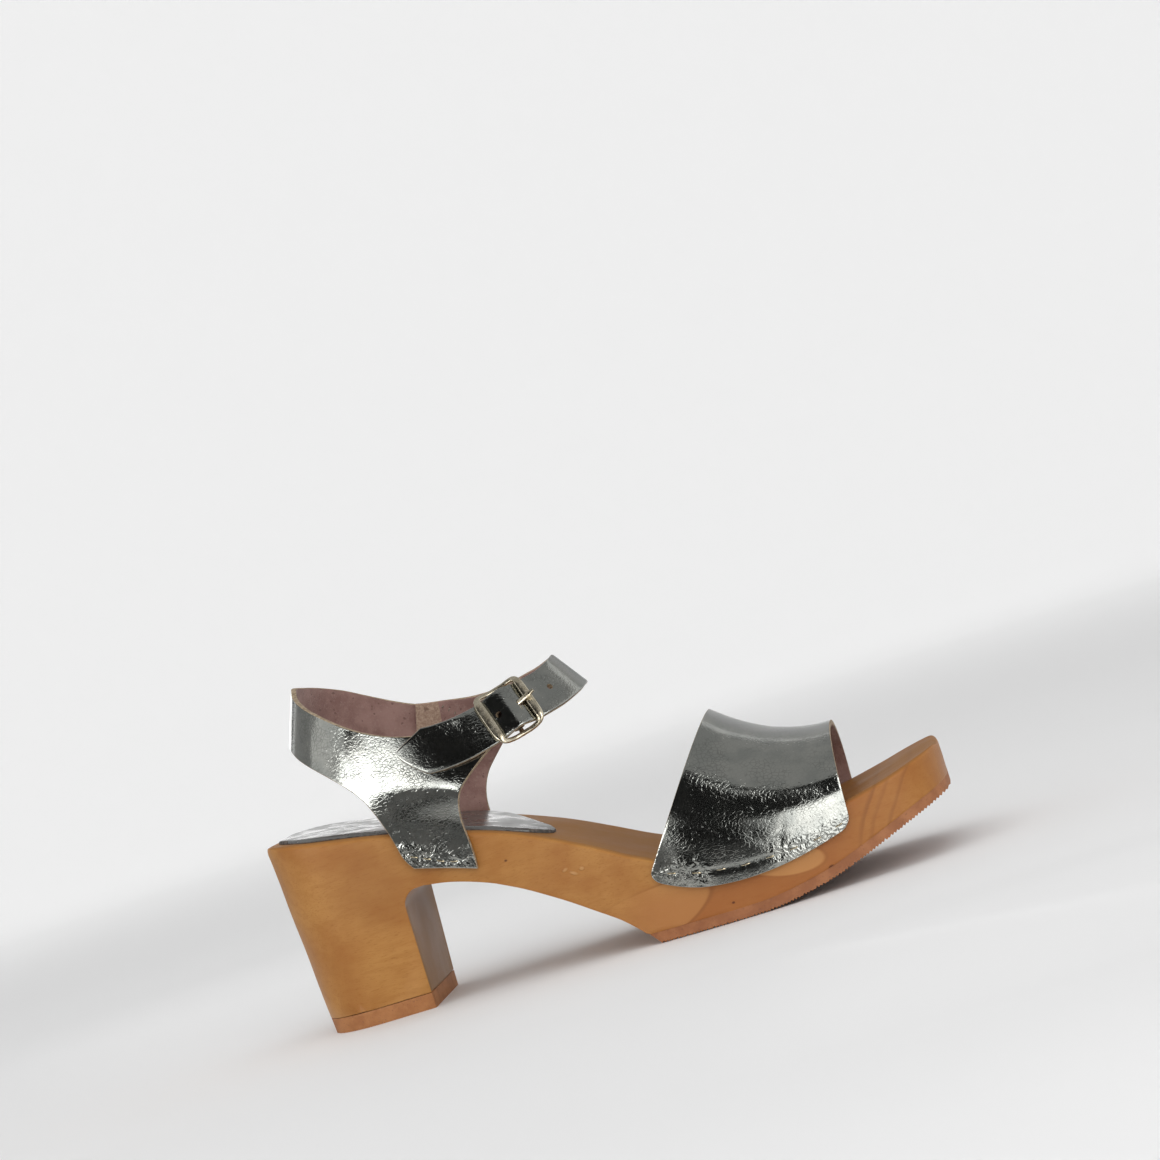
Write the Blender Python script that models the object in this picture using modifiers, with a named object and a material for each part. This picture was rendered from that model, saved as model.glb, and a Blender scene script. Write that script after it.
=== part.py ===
"""Heeled wooden clog sandal, right shoe.

The shoe stands on its heel lift and forefoot with the toe along +X, the inner (medial) side
along +Y and +Z up. The origin is the middle of the heel lift's flat on the floor.
"""

import math

import bmesh
import bpy
import numpy as np
from mathutils import Matrix, Vector

# Driving sizes of the sole, in metres
LENGTH = 0.238  # back of the footbed to the tip of the toe
BALL_WIDTH = 0.087  # widest across the wood
HEEL_WIDTH = 0.062  # across the heel seat
SEAT_HEIGHT = 0.0696  # footbed above the floor at the heel
TOE_SPRING = 0.020  # underside of the toe above the floor
OUTSOLE_THICKNESS = 0.004
LIFT_THICKNESS = 0.0055
SOCK_THICKNESS = 0.0013
EDGE_ROUND = 0.002  # rounding of the footbed's rim
BREAST = 0.1895  # front face of the heel, as a share of the length
HEEL_LEAN = 0.0039  # how far the heel's back leans out from floor to seat
HEEL_TAPER = 0.177  # share of its width that the heel loses down to the floor
BREAST_FILLET = 0.006

# Driving sizes of the upper
BAND_THICKNESS = 0.0020
BAND_RISE = 0.0450  # top of the band above the footbed at its rear edge
BAND_LAP = 0.0100  # how far the band laps down the wood
QUARTER_THICKNESS = 0.0020
STRAP_THICKNESS = 0.0018
STRAP_WIDTH = 0.0160
ANKLE_RISE = 0.0286  # scale of the ankle ring's heights above the heel seat
ANKLE_WIDTH = 0.068  # across the quarter at the ankle
GAP = 0.0003  # between pieces that touch
WELD = 0.00005  # points closer than this are one

# Driving sizes of the buckle
BUCKLE_LENGTH = 0.0190  # outside, along the strap
BAR_WIDTH = 0.0028
BAR_THICKNESS = 0.0020
RAIL_WIDTH = 0.0016
RAIL_CLEARANCE = 0.0007  # between the strap's edge and the rail
PIN_RADIUS = 0.0009  # centre bar
SLEEVE_WALL = 0.0012  # leather tab round the centre bar
PRONG_WIDTH = 0.0017
PRONG_WALL = 0.0011  # metal of the prong's eye
PRONG_THICKNESS = 0.0014
PRONG_PLAY = 0.0006  # round the prong in its hole
PRONG_CROSSING = 0.0047  # where the prong comes up through the strap, past the centre bar
PRONG_LIFT = 0.0011  # prong's middle above the toe-side bar and its gap
SLOT_PLAY = 0.0014  # how much wider than the prong its slot in the tab is
PIN_HEIGHT = 0.0005  # middle of the centre bar out from the quarter's face
HOLE_DIAMETER = 0.0022
HOLE_RUNS = (-0.0036, 0.0186)  # punched holes along the strap from the centre bar

# Ends of the ankle strap, as turns of the ankle ring, and the length of its pointed tail
TAIL_TURN = 0.418
SEWN_TURN = 0.40
TAIL_POINT = 0.0095

# Small steps in the sole and the band
BREAST_SLANT = 0.001  # the heel's front face leans ahead by this much
OUTSOLE_AHEAD = 0.0006  # rear edge of the outsole ahead of the arch's end
OUTSOLE_REAR_SLANT = 0.0032  # and how far that edge leans back as it rises
BAND_SHOULDER = 0.0005  # where the band leaves the wood's side, above the footbed

# Heights in the buckle, out from the quarter's face, and radii round the centre bar
BAR_HEIGHT = GAP * 2 + STRAP_THICKNESS + BAR_THICKNESS / 2
PIN_BORE = PIN_RADIUS + GAP
SLEEVE_RADIUS = PIN_BORE + SLEEVE_WALL
SLEEVE_LENGTH = STRAP_WIDTH * 0.86
STRAP_BUMP = PIN_HEIGHT + SLEEVE_RADIUS
PRONG_EYE = PIN_BORE + PRONG_WALL
SLOT_WIDTH = PRONG_WIDTH + SLOT_PLAY
SLOT_REACH = PRONG_EYE + GAP
PRONG_TIP_HEIGHT = BAR_HEIGHT + BAR_THICKNESS / 2 + GAP + PRONG_LIFT

BACK = -HEEL_LEAN - 0.0007  # back of the footbed, behind the heel's foot
HEEL_FOOT_BACK = BACK + HEEL_LEAN
HEEL_FLAT_MIDDLE = HEEL_FOOT_BACK + 0.021  # origin of the finished part

# Footbed height along the shoe, as shares of the length and of the seat height
FOOTBED = {
    "station": (0, 0.05, 0.10, 0.15, 0.20, 0.28, 0.35, 0.42, 0.49, 0.545, 0.58, 0.62, 0.66,
                0.72, 0.78, 0.84, 0.90, 0.96, 1),
    "height": (1.004, 0.993, 0.968, 0.937, 0.901, 0.836, 0.764, 0.668, 0.545, 0.4425, 0.3865,
               0.349, 0.338, 0.3405, 0.359, 0.391, 0.435, 0.487, 0.523),
}

# Underside of the arch, from the heel's breast to the forefoot
ARCH = {
    "station": (0.2294, 0.27, 0.32, 0.37, 0.42, 0.47, 0.50, 0.52, 0.5408),
    "height": (0.606, 0.582, 0.526, 0.4425, 0.3405, 0.2227, 0.151, 0.085, 0.003),
}

# Underside of the outsole, as shares of the length and of the toe spring
TREAD = {
    "station": (0.50, 0.60, 0.69, 0.73, 0.77, 0.81, 0.85, 0.90, 0.95, 1),
    "rise": (0, 0, 0, 0.035, 0.115, 0.22, 0.37, 0.585, 0.80, 1),
}

# Half widths of the sole: a share of the heel's half width plus shares of the ball's
PLAN = {
    "station": (0, 0.10, 0.20, 0.30, 0.38, 0.46, 0.54, 0.62, 0.69, 0.76, 0.84, 0.92, 1),
    "heel": (0.96, 0.98, 1, 1, 0.5, 0.15, 0, 0, 0, 0, 0, 0, 0),
    "outer": (0, 0, 0, 0, 0.379, 0.702, 0.915, 0.985, 1, 0.985, 0.94, 0.885, 0.83),
    "inner": (0, 0, 0, -0.03, 0.324, 0.617, 0.815, 0.91, 0.975, 1, 0.99, 0.955, 0.90),
}
BACK_ROUND = {"length": 0.112, "power": 2.3}
TOE_ROUND = {"length": 0.120, "power": 3.2}
END_FACE = {"back": 0.012, "toe": 0.010}  # first section of a rounded end, as a share of it
OUTSOLE_TOE = 0.11  # rounded end of the outsole, as a share of its length

# Edges of the heel sock across the footbed: 1 is the wood's outer edge, -1 its inner edge
SOCK_TIP = {
    "station": (0.31, 0.35, 0.38, 0.405, 0.420, 0.430),
    "outer": (0.93, 0.93, 0.90, 0.82, 0.72, 0.60),
    "inner": (-0.93, -0.70, -0.28, 0.08, 0.26, 0.44),
}
SOCK_SECTIONS = {
    "back": (0.024, 0.032, 0.045, 0.065, 0.09, 0.12),
    "tip": (0.33, 0.35, 0.37, 0.385, 0.40, 0.412, 0.422, 0.430),
}
SOCK_ROUND = 0.0612  # rounded back of the sock, as a share of the length
SOCK_INSET = 0.0022

# Top of the vamp band's arch above the footbed, as a share of its rise
BAND_CREST = {
    "station": (0.52, 0.586, 0.65, 0.696, 0.721, 0.746, 0.771, 0.797, 0.822, 0.856),
    "rise": (1.60, 1.42, 1.20, 1, 0.89, 0.796, 0.715, 0.651, 0.600, 0.550),
}
BAND_REAR_FOOT = 0.5610  # station of the band's rear edge at the wood
BAND_REAR_LEAN = 0.70  # how far the rear edge leans forward as it rises
BAND_FRONT_FOOT = 0.8530
BAND_FRONT_LEAN = 0.045
BAND_CORNER = 0.004
BAND_POWER = 2.3
BAND_LEAN_IN = 0.03  # crest towards the inner side, as a share of the ball width

# Ankle ring, from the middle of the back (turn 0) over the side to the crest (turn 1).
# x is a share of the length, y of the half ankle width, z is the middle's height above the
# seat in ankle rises, and lean is how far the leather leans in as it rises.
ANKLE = {
    "turn": (0, 0.07, 0.14, 0.22, 0.31, 0.40, 0.49, 0.58, 0.66, 0.74, 0.82, 0.89, 0.95, 1),
    "x": (0.091, 0.098, 0.116, 0.150, 0.196, 0.246, 0.297, 0.343, 0.383, 0.4185, 0.454,
          0.484, 0.503, 0.508),
    "y": (0, 0.28, 0.59, 0.81, 0.95, 1, 1, 0.955, 0.875, 0.785, 0.69, 0.53, 0.29, 0),
    "outer_z": (1.48, 1.40, 1.27, 1.08, 0.85, 0.68, 0.59, 0.585, 0.635, 0.705, 0.775, 0.83,
                0.905, 0.955),
    "inner_z": (1.48, 1.43, 1.35, 1.22, 1.03, 0.87, 0.80, 0.77, 0.785, 0.82, 0.87, 0.91,
                0.945, 0.955),
    "lean": (0.36, 0.34, 0.28, 0.18, 0.10, 0.08, 0.12, 0.28, 0.43, 0.45, 0.46, 0.60, 0.69,
             0.71),
}
BUCKLE_TURN = 0.753

# Edges of the quarter along the ring, as heights above the seat in ankle rises
QUARTER_EDGE = {
    "turn": (0, 0.035, 0.07, 0.14, 0.22, 0.31, 0.40, 0.49, 0.58, 0.66, 0.74),
    "outer_top": (1.80, 1.77, 1.70, 1.57, 1.37, 1.11, 0.90, 0.79, 0.80, 0.86, 0.93),
    "inner_top": (1.80, 1.79, 1.77, 1.71, 1.59, 1.37, 1.15, 1.01, 0.97, 0.99, 1.03),
    "outer_low": (1.14, 1.12, 1.06, 0.89, 0.62, 0.28, 0.19, 0.12, 0.17, 0.40, 0.50),
    "inner_low": (1.14, 1.12, 1.07, 0.93, 0.68, 0.32, 0.21, 0.14, 0.22, 0.50, 0.62),
}

# Turns of the ring at the collar's columns: behind the leg, along its foot and on the arm
COLLAR = {
    "back": (0, 0.03, 0.06, 0.09, 0.12, 0.155, 0.19),
    "leg": (0.235, 0.545),
    "arm": (0.59, 0.63, 0.665, 0.695),
}
LEG_BLEND = (0.001, 0.018)  # heights above the footbed where the leg turns into the ring

# Legs of the quarter from the ring down to the wood. rear and front are stations, and
# their heights are above the footbed at the leg, in ankle rises.
LEG = {
    "rear": (0.180, 0.1935, 0.2035, 0.211, 0.214, 0.226),
    "front": (0.327, 0.3185, 0.3145, 0.3145, 0.3175, 0.315),
    "rear_height": (0.545, 0.325, 0.09, -0.13, -0.32, -0.44),
    "front_height": (0.54, 0.36, 0.19, 0.01, -0.23, -0.475),
}


def smooth(stations, values):
    """A smooth curve through a table's rows, as a function."""
    xs = np.array(stations, float)
    ys = np.array(values, float)
    steps = np.diff(xs)
    rises = np.diff(ys) / steps
    slopes = np.empty(len(xs))
    slopes[0] = rises[0]
    slopes[-1] = rises[-1]
    slopes[1:-1] = (rises[:-1] * steps[1:] + rises[1:] * steps[:-1]) / (steps[1:] + steps[:-1])

    def value(x):
        i = int(np.clip(np.searchsorted(xs, x) - 1, 0, len(xs) - 2))
        h = steps[i]
        t = (x - xs[i]) / h
        if t < 0 or t > 1:
            end = -1 if t > 1 else 0
            return float(ys[end] + slopes[end] * (x - xs[end]))
        a = (1 + 2 * t) * (1 - t) ** 2
        b = t * (1 - t) ** 2
        c = t * t * (3 - 2 * t)
        d = t * t * (t - 1)
        return float(a * ys[i] + b * h * slopes[i] + c * ys[i + 1] + d * h * slopes[i + 1])

    return value


def blend(low, high, x):
    """0 below low, 1 above high, and a soft step between."""
    t = min(max((x - low) / (high - low), 0), 1)
    return t * t * (3 - 2 * t)


def mix(a, b, t):
    return a + (b - a) * t


footbed_share = smooth(FOOTBED["station"], FOOTBED["height"])
arch_share = smooth(ARCH["station"], ARCH["height"])
tread_share = smooth(TREAD["station"], TREAD["rise"])
plan_heel = smooth(PLAN["station"], PLAN["heel"])
plan_side = {side: smooth(PLAN["station"], PLAN[side]) for side in ("outer", "inner")}
crest_share = smooth(BAND_CREST["station"], BAND_CREST["rise"])


def station_x(station):
    return BACK + station * LENGTH


def x_station(x):
    return (x - BACK) / LENGTH


def footbed_z(x):
    return SEAT_HEIGHT * footbed_share(x_station(x))


def tread_z(x):
    return TOE_SPRING * max(0, tread_share(x_station(x)))


def arch_z(x):
    return SEAT_HEIGHT * arch_share(x_station(x))


def end_round(station):
    """Share of the full width that is left near the rounded back and toe."""
    back = max(0, 1 - station / BACK_ROUND["length"])
    toe = max(0, 1 - (1 - station) / TOE_ROUND["length"])
    back_share = max(0, 1 - back ** BACK_ROUND["power"]) ** (1 / BACK_ROUND["power"])
    toe_share = max(0, 1 - toe ** TOE_ROUND["power"]) ** (1 / TOE_ROUND["power"])
    return back_share * toe_share


def plan_half(x, side):
    """Half width of the footbed on the outer or inner side."""
    station = x_station(x)
    heel = plan_heel(station) * HEEL_WIDTH / 2
    ball = plan_side[side](station) * BALL_WIDTH / 2
    return (heel + ball) * end_round(station)


def side_half(x, z, side):
    """Half width at a height: the heel block narrows down to the floor."""
    fade = 1 - blend(0.25, 0.45, x_station(x))
    depth = min(max((SEAT_HEIGHT - z) / SEAT_HEIGHT, 0), 1)
    return plan_half(x, side) * (1 - HEEL_TAPER * fade * depth ** 1.5)


def heel_x(x, z):
    """Where a point of the footbed's outline lies lower down, on the leaning heel."""
    breast = station_x(BREAST)
    if x > breast:
        return x
    share = (breast - x) / (breast - BACK)
    return x + HEEL_LEAN * share * (1 - z / SEAT_HEIGHT)


def new_object(name, bm, material, collection):
    bmesh.ops.recalc_face_normals(bm, faces=bm.faces)
    mesh = bpy.data.meshes.new(name)
    bm.to_mesh(mesh)
    bm.free()
    mesh.materials.append(material)
    obj = bpy.data.objects.new(name, mesh)
    collection.objects.link(obj)
    mesh.shade_smooth()
    mesh.set_sharp_from_angle(angle=math.radians(35))
    return obj


def loft(rings, closed=False):
    """A solid through rings of as many points each, capped unless the rings close."""
    bm = bmesh.new()
    loops = [[bm.verts.new(p) for p in ring] for ring in rings]
    pairs = list(zip(loops, loops[1:]))
    if closed:
        pairs.append((loops[-1], loops[0]))
    for a, b in pairs:
        for i in range(len(a)):
            j = (i + 1) % len(a)
            bm.faces.new((a[i], a[j], b[j], b[i]))
    if not closed:
        caps = [bm.faces.new(loops[0]), bm.faces.new(list(reversed(loops[-1])))]
        bmesh.ops.triangulate(bm, faces=caps)
    return bm


def sole_ring(x, low, rim):
    """One section of a sole piece: top row, rounded rim, sides and bottom row."""
    top = footbed_z(x)
    rows = 4
    ring = []
    drop = end_drop(x)
    for side, sign in (("outer", -1), ("inner", 1)):
        column = []
        for k in range(4):
            angle = math.radians(90 - 30 * k)
            half = side_half(x, top, side)
            inset = min(rim, half * 0.5) * (1 - math.cos(angle))
            column.append((x, sign * (half - inset), top - drop - rim * (1 - math.sin(angle))))
        for k in range(1, rows + 1):
            z = mix(top - drop - rim, low, k / rows)
            column.append((heel_x(x, z), sign * side_half(x, z, side), z))
        if sign > 0:
            column.reverse()
        ring.append(column)
    outer, inner = ring
    bottom = [mix_points(outer[-1], inner[0], k / 4) for k in range(1, 4)]
    across = [mix_points(inner[-1], outer[0], k / 6) for k in range(1, 6)]
    return outer + bottom + inner + across


def mix_points(a, b, t):
    return tuple(mix(p, q, t) for p, q in zip(a, b))


def end_drop(x):
    """How far the rim rounds down at the very back and toe."""
    radius = 1.5 * EDGE_ROUND
    edge = min(x - BACK, station_x(1) - x)
    if edge >= radius:
        return 0
    return radius - math.sqrt(max(0, radius ** 2 - (radius - edge) ** 2))


def end_stations(length, count, narrowest):
    """Stations that crowd towards a rounded end, as distances from it."""
    first = math.acos(1 - narrowest)
    return [length * (1 - math.cos(mix(first, math.pi / 2, k / count))) for k in range(count)]


def wood_stations():
    """Sections of the wood, as (x, height of the underside)."""
    heel_low = LIFT_THICKNESS + GAP
    breast = station_x(BREAST)
    back = [BACK + d for d in end_stations(BACK_ROUND["length"] * LENGTH, 8, END_FACE["back"])]
    heel = list(np.linspace(station_x(BACK_ROUND["length"]), breast, 4))
    sections = [(x, heel_low) for x in back + heel]
    arch_start = station_x(ARCH["station"][0])
    face = breast + BREAST_SLANT
    roof = arch_z(arch_start)
    for k in range(4):
        angle = math.radians(30 * k)
        x = face + BREAST_FILLET * (1 - math.cos(angle))
        sections.append((x, roof - BREAST_FILLET * (1 - math.sin(angle))))
    under = OUTSOLE_THICKNESS + GAP
    toe_start = station_x(1 - TOE_ROUND["length"])
    toe = [station_x(1) - d for d in end_stations(TOE_ROUND["length"] * LENGTH, 9, END_FACE["toe"])]
    middle = list(np.linspace(arch_start, toe_start, 26))
    for x in middle + toe[::-1]:
        low = tread_z(x) + under
        if x_station(x) < ARCH["station"][-1]:
            low = max(low, arch_z(x))
        sections.append((x, low))
    return sections


def make_wood_sole(material, collection):
    rings = [sole_ring(x, low, EDGE_ROUND) for x, low in wood_stations()]
    return new_object("wood_sole", loft(rings), material, collection)


def slab_ring(x_top, x_low, z_top, z_low, halves):
    """Four corners and middles of a flat piece's section."""
    outer, inner = halves
    top = [(x_top, mix(-outer, inner, k / 4), z_top) for k in range(5)]
    low = [(x_low, mix(-outer, inner, k / 4), z_low) for k in range(5)]
    return top + low[::-1]


def make_outsole(material, collection):
    rear_low = station_x(ARCH["station"][-1]) + OUTSOLE_AHEAD
    rear_top = rear_low - OUTSOLE_REAR_SLANT
    tip = station_x(1)
    stations = list(np.linspace(0, 1 - OUTSOLE_TOE, 20))
    stations += [1 - d for d in end_stations(OUTSOLE_TOE, 9, END_FACE["toe"])[::-1]]
    rings = []
    for share in stations:
        x_low = mix(rear_low, tip, share)
        x_top = mix(rear_top, tip, share)
        halves = [plan_half(x_low, side) for side in ("outer", "inner")]
        top = tread_z(x_top) + OUTSOLE_THICKNESS
        rings.append(slab_ring(x_top, x_low, top, tread_z(x_low), halves))
    return new_object("forefoot_outsole", loft(rings), material, collection)


def make_heel_lift(material, collection):
    breast = station_x(BREAST)
    xs = [BACK + d for d in end_stations(BACK_ROUND["length"] * LENGTH, 9, END_FACE["back"])]
    xs += list(np.linspace(station_x(BACK_ROUND["length"]), breast, 4))
    rings = []
    for x in xs:
        halves = [side_half(x, 0, side) for side in ("outer", "inner")]
        x_top = heel_x(x, LIFT_THICKNESS)
        x_low = heel_x(x, 0)
        rings.append(slab_ring(x_top, x_low, LIFT_THICKNESS, 0, halves))
    return new_object("heel_lift", loft(rings), material, collection)


def make_heel_sock(material, collection):
    outer_share = smooth(SOCK_TIP["station"], SOCK_TIP["outer"])
    inner_share = smooth(SOCK_TIP["station"], SOCK_TIP["inner"])
    first = SOCK_TIP["station"][0]
    rings = []
    start = SOCK_SECTIONS["back"][0]
    xs = [station_x(s) for s in SOCK_SECTIONS["back"]]
    xs += list(np.linspace(station_x(0.16), station_x(first), 7))
    xs += [station_x(s) for s in SOCK_SECTIONS["tip"]]
    for x in xs:
        station = x_station(x)
        outer = plan_half(x, "outer") - SOCK_INSET
        inner = plan_half(x, "inner") - SOCK_INSET
        behind = 1 - (station - start) / SOCK_ROUND
        if behind > 0:
            shrink = math.sqrt(1 - 0.75 * behind ** 2)
            outer *= shrink
            inner *= shrink
        if station > first:
            outer *= outer_share(station) / SOCK_TIP["outer"][0]
            inner *= inner_share(station) / SOCK_TIP["inner"][0]
        low = footbed_z(x) + GAP
        rings.append(slab_ring(x, x, low + SOCK_THICKNESS, low, (outer, inner)))
    return new_object("heel_sock", loft(rings), material, collection)


def band_crest_z(x):
    return footbed_z(x) + BAND_RISE * crest_share(x_station(x))


def band_lap_z(x):
    """Lower edge of the band on the wood's side."""
    rear = station_x(BAND_REAR_FOOT)
    front = station_x(BAND_FRONT_FOOT)
    along = min(max((x - rear) / (front - rear), 0), 1)
    return footbed_z(x) - BAND_LAP * (0.80 + 0.23 * math.sin(math.pi * along))


def band_point(x, level, side):
    """Outer face of the band. Levels 0 to 1 go up the wood's side, 1 to 2 over the arch."""
    sign = -1 if side == "outer" else 1
    wall = plan_half(x, side) + GAP + BAND_THICKNESS
    shoulder = footbed_z(x) + BAND_SHOULDER
    if level <= 1:
        return (x, sign * wall, mix(band_lap_z(x), shoulder, level))
    angle = (level - 1) * math.pi / 2
    middle = BAND_LEAN_IN * BALL_WIDTH
    reach = sign * wall - middle
    share = 2 / BAND_POWER
    y = middle + reach * math.cos(angle) ** share
    z = shoulder + (band_crest_z(x) - shoulder) * math.sin(angle) ** share
    return (x, y, z)


def band_edge_x(level, side, foot, lean):
    """Where a level of the band meets its straight, leaning rear or front edge."""
    start = station_x(foot)
    base = band_lap_z(start)
    x = start
    for _ in range(40):
        z = band_point(x, level, side)[2]
        x = mix(x, start + lean * (z - base - BAND_CORNER), 0.5)
    return x


def corner_inset(level):
    """Rounded lower corners of the band."""
    height = level * BAND_LAP * 0.9
    rest = max(0, BAND_CORNER - height)
    return BAND_CORNER - math.sqrt(BAND_CORNER ** 2 - rest ** 2)


def make_vamp_band(material, collection):
    lap = [0, 0.12, 0.28, 0.5, 0.8]
    levels = lap + [1 + math.sin(math.pi / 2 * k / 11) ** 1.2 for k in range(12)]
    columns = [(level, "outer") for level in levels]
    columns += [(level, "inner") for level in levels[-2::-1]]
    grid = []
    for level, side in columns:
        inset = corner_inset(level) if level < 1 else 0
        rear = band_edge_x(level, side, BAND_REAR_FOOT, BAND_REAR_LEAN) + inset
        front = band_edge_x(level, side, BAND_FRONT_FOOT, BAND_FRONT_LEAN) - inset
        grid.append([band_point(mix(rear, front, k / 14), level, side) for k in range(15)])
    obj = sheet_object("vamp_band", grid_mesh(grid), material, collection)
    solidify(obj, BAND_THICKNESS)
    return obj


def grid_mesh(grid):
    bm = bmesh.new()
    rows = [[bm.verts.new(p) for p in row] for row in grid]
    add_cells(bm, rows)
    return bm


def add_cells(bm, rows):
    for a, b in zip(rows, rows[1:]):
        for i in range(len(a) - 1):
            bm.faces.new((a[i], a[i + 1], b[i + 1], b[i]))


def sheet_object(name, bm, material, collection):
    """An open surface whose faces look away from the shoe's middle line."""
    obj = new_object(name, bm, material, collection)
    mesh = obj.data
    outward = 0
    for face in mesh.polygons:
        middle = Vector((0, face.center.y, max(0, face.center.z - SEAT_HEIGHT)))
        outward += face.normal.dot(middle) * face.area
    if outward < 0:
        mesh.flip_normals()
    return obj


def solidify(obj, thickness):
    """Wall of even thickness, inward from the outer face."""
    wall = obj.modifiers.new("Wall", "SOLIDIFY")
    wall.thickness = thickness
    wall.offset = -1
    wall.use_even_offset = True


ring_curve = {key: smooth(ANKLE["turn"], ANKLE[key]) for key in ANKLE if key != "turn"}


def ring_middle(turn, side):
    """Middle line of the ankle ring, the outer face of the quarter."""
    sign = -1 if side == "outer" else 1
    height = ring_curve["outer_z"] if side == "outer" else ring_curve["inner_z"]
    x = station_x(ring_curve["x"](turn))
    y = sign * ring_curve["y"](turn) * ANKLE_WIDTH / 2
    return Vector((x, y, SEAT_HEIGHT + height(turn) * ANKLE_RISE))


def ring_inward(turn, side):
    """Level direction from the ring's wall towards its inside."""
    ahead = ring_middle(min(turn + 0.01, 1), side)
    behind = ring_middle(max(turn - 0.01, 0), side)
    along = (ahead - behind).to_2d().normalized()
    inward = Vector((-along.y, along.x, 0))
    if side == "inner":
        inward = -inward
    if turn < 0.005:
        inward = Vector((1, 0, 0))
    if turn > 0.995:
        inward = Vector((-1, 0, 0))
    return inward


def ring_point(turn, z, side):
    """Outer face of the quarter at a height, leaning in as it rises."""
    middle = ring_middle(turn, side)
    inward = ring_inward(turn, side)
    point = middle + inward * ring_curve["lean"](turn) * (z - middle.z)
    point.z = z
    return point


def turn_at(x, z, side):
    """The turn whose wall passes a station at a height, on the side of the ankle."""
    turns = np.linspace(0.05, 0.80, 151)
    reach = [ring_point(t, z, side).x for t in turns]
    return float(np.interp(x, reach, turns))


def leg_point(x, z, side):
    """Outer face of a leg: against the wood's side below, on the ankle ring above."""
    sign = -1 if side == "outer" else 1
    wall = side_half(x, min(z, footbed_z(x)), side) + GAP + QUARTER_THICKNESS
    above = ring_point(turn_at(x, z, side), z, side)
    share = blend(footbed_z(x) + LEG_BLEND[0], footbed_z(x) + LEG_BLEND[1], z)
    return Vector((x, mix(sign * wall, above.y, share), z))


def quarter_half(side):
    """Columns of the collar from the back to the arm's end, and rows of the leg."""
    edge = {key: smooth(QUARTER_EDGE["turn"], QUARTER_EDGE[key]) for key in QUARTER_EDGE
            if key != "turn"}
    rise = ANKLE_RISE

    def top_z(turn):
        return SEAT_HEIGHT + rise * edge[side + "_top"](turn)

    def low_z(turn):
        return SEAT_HEIGHT + rise * edge[side + "_low"](turn)

    leg_rows = []
    columns = 8
    for row in range(len(LEG["rear"])):
        rear = station_x(LEG["rear"][row])
        front = station_x(LEG["front"][row])
        low = []
        for k in range(columns + 1):
            x = mix(rear, front, k / columns)
            height = mix(LEG["rear_height"][row], LEG["front_height"][row], k / columns)
            low.append((x, footbed_z(x) + rise * height))
        leg_rows.append(low)
    leg = [[leg_point(x, z, side) for x, z in row] for row in leg_rows]

    def collar_column(turn, foot):
        top = top_z(turn)
        steps = 6
        column = []
        for k in range(steps):
            z = mix(top, foot.z, k / steps)
            shift = turn_at(foot.x, foot.z, side) if turn > 0.1 else turn
            at = mix(turn, shift, k / steps)
            column.append(ring_point(at, z, side))
        column.append(foot)
        return column

    collar = []
    for turn in COLLAR["back"]:
        collar.append(collar_column(turn, ring_point(turn, low_z(turn), side)))
    for k, foot in enumerate(leg[0]):
        collar.append(collar_column(mix(*COLLAR["leg"], k / columns), foot))
    for turn in (*COLLAR["arm"], arm_end_turn()):
        collar.append(collar_column(turn, ring_point(turn, low_z(turn), side)))
    return collar, leg


def arm_end_turn():
    """The arm stops at the sleeve round the centre bar."""
    return BUCKLE_TURN - (PIN_RADIUS + GAP + SLEEVE_WALL * 0.15) / ring_speed(BUCKLE_TURN)


def ring_speed(turn):
    """Length of the outer ring per turn."""
    return (ring_middle(turn + 0.01, "outer") - ring_middle(turn - 0.01, "outer")).length / 0.02


def buckle_frame_axes():
    """Middle of the buckle, and its directions along, across (down) and out of the strap."""
    middle = ring_middle(BUCKLE_TURN, "outer")
    ahead = ring_middle(BUCKLE_TURN + 0.04, "outer")
    behind = ring_middle(BUCKLE_TURN - 0.04, "outer")
    along = (ahead - behind).normalized()
    return middle, along, *strap_axes(along, BUCKLE_TURN, "outer")


def strap_axes(along, turn, side):
    """Across (down) and outward directions of the strap where it runs along a direction."""
    inward = ring_inward(turn, side)
    up = Vector((0, 0, 1)) + inward * ring_curve["lean"](turn)
    up = (up - along * up.dot(along)).normalized()
    out = up.cross(along)
    if out.dot(inward) > 0:
        out = -out
    return -up, out.normalized()


def make_heel_quarter(material, collection):
    bm = bmesh.new()
    halves = {side: quarter_half(side) for side in ("outer", "inner")}
    for side in ("outer", "inner"):
        collar, leg = halves[side]
        rows = [[bm.verts.new(p) for p in column] for column in collar]
        add_cells(bm, rows)
        first = len(COLLAR["back"])
        joint = [rows[first + k][-1] for k in range(len(leg[0]))]
        leg_rows = [joint] + [[bm.verts.new(p) for p in row] for row in leg[1:]]
        add_cells(bm, leg_rows)
    bmesh.ops.remove_doubles(bm, verts=bm.verts, dist=WELD)
    obj = sheet_object("heel_quarter", bm, material, collection)
    solidify(obj, QUARTER_THICKNESS)
    apply_modifiers(obj)
    add_buckle_sleeve(obj)
    return obj


def apply_modifiers(obj):
    """Bake an object's modifiers into its mesh, so that it can be cut and joined."""
    graph = bpy.context.evaluated_depsgraph_get()
    graph.update()
    old = obj.data
    mesh = bpy.data.meshes.new_from_object(obj.evaluated_get(graph))
    mesh.name = old.name
    obj.modifiers.clear()
    obj.data = mesh
    bpy.data.meshes.remove(old)


def boolean(obj, cutter, operation):
    cut = obj.modifiers.new(cutter.name, "BOOLEAN")
    cut.operation = operation
    cut.object = cutter
    cut.solver = "EXACT"
    return cut


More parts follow.
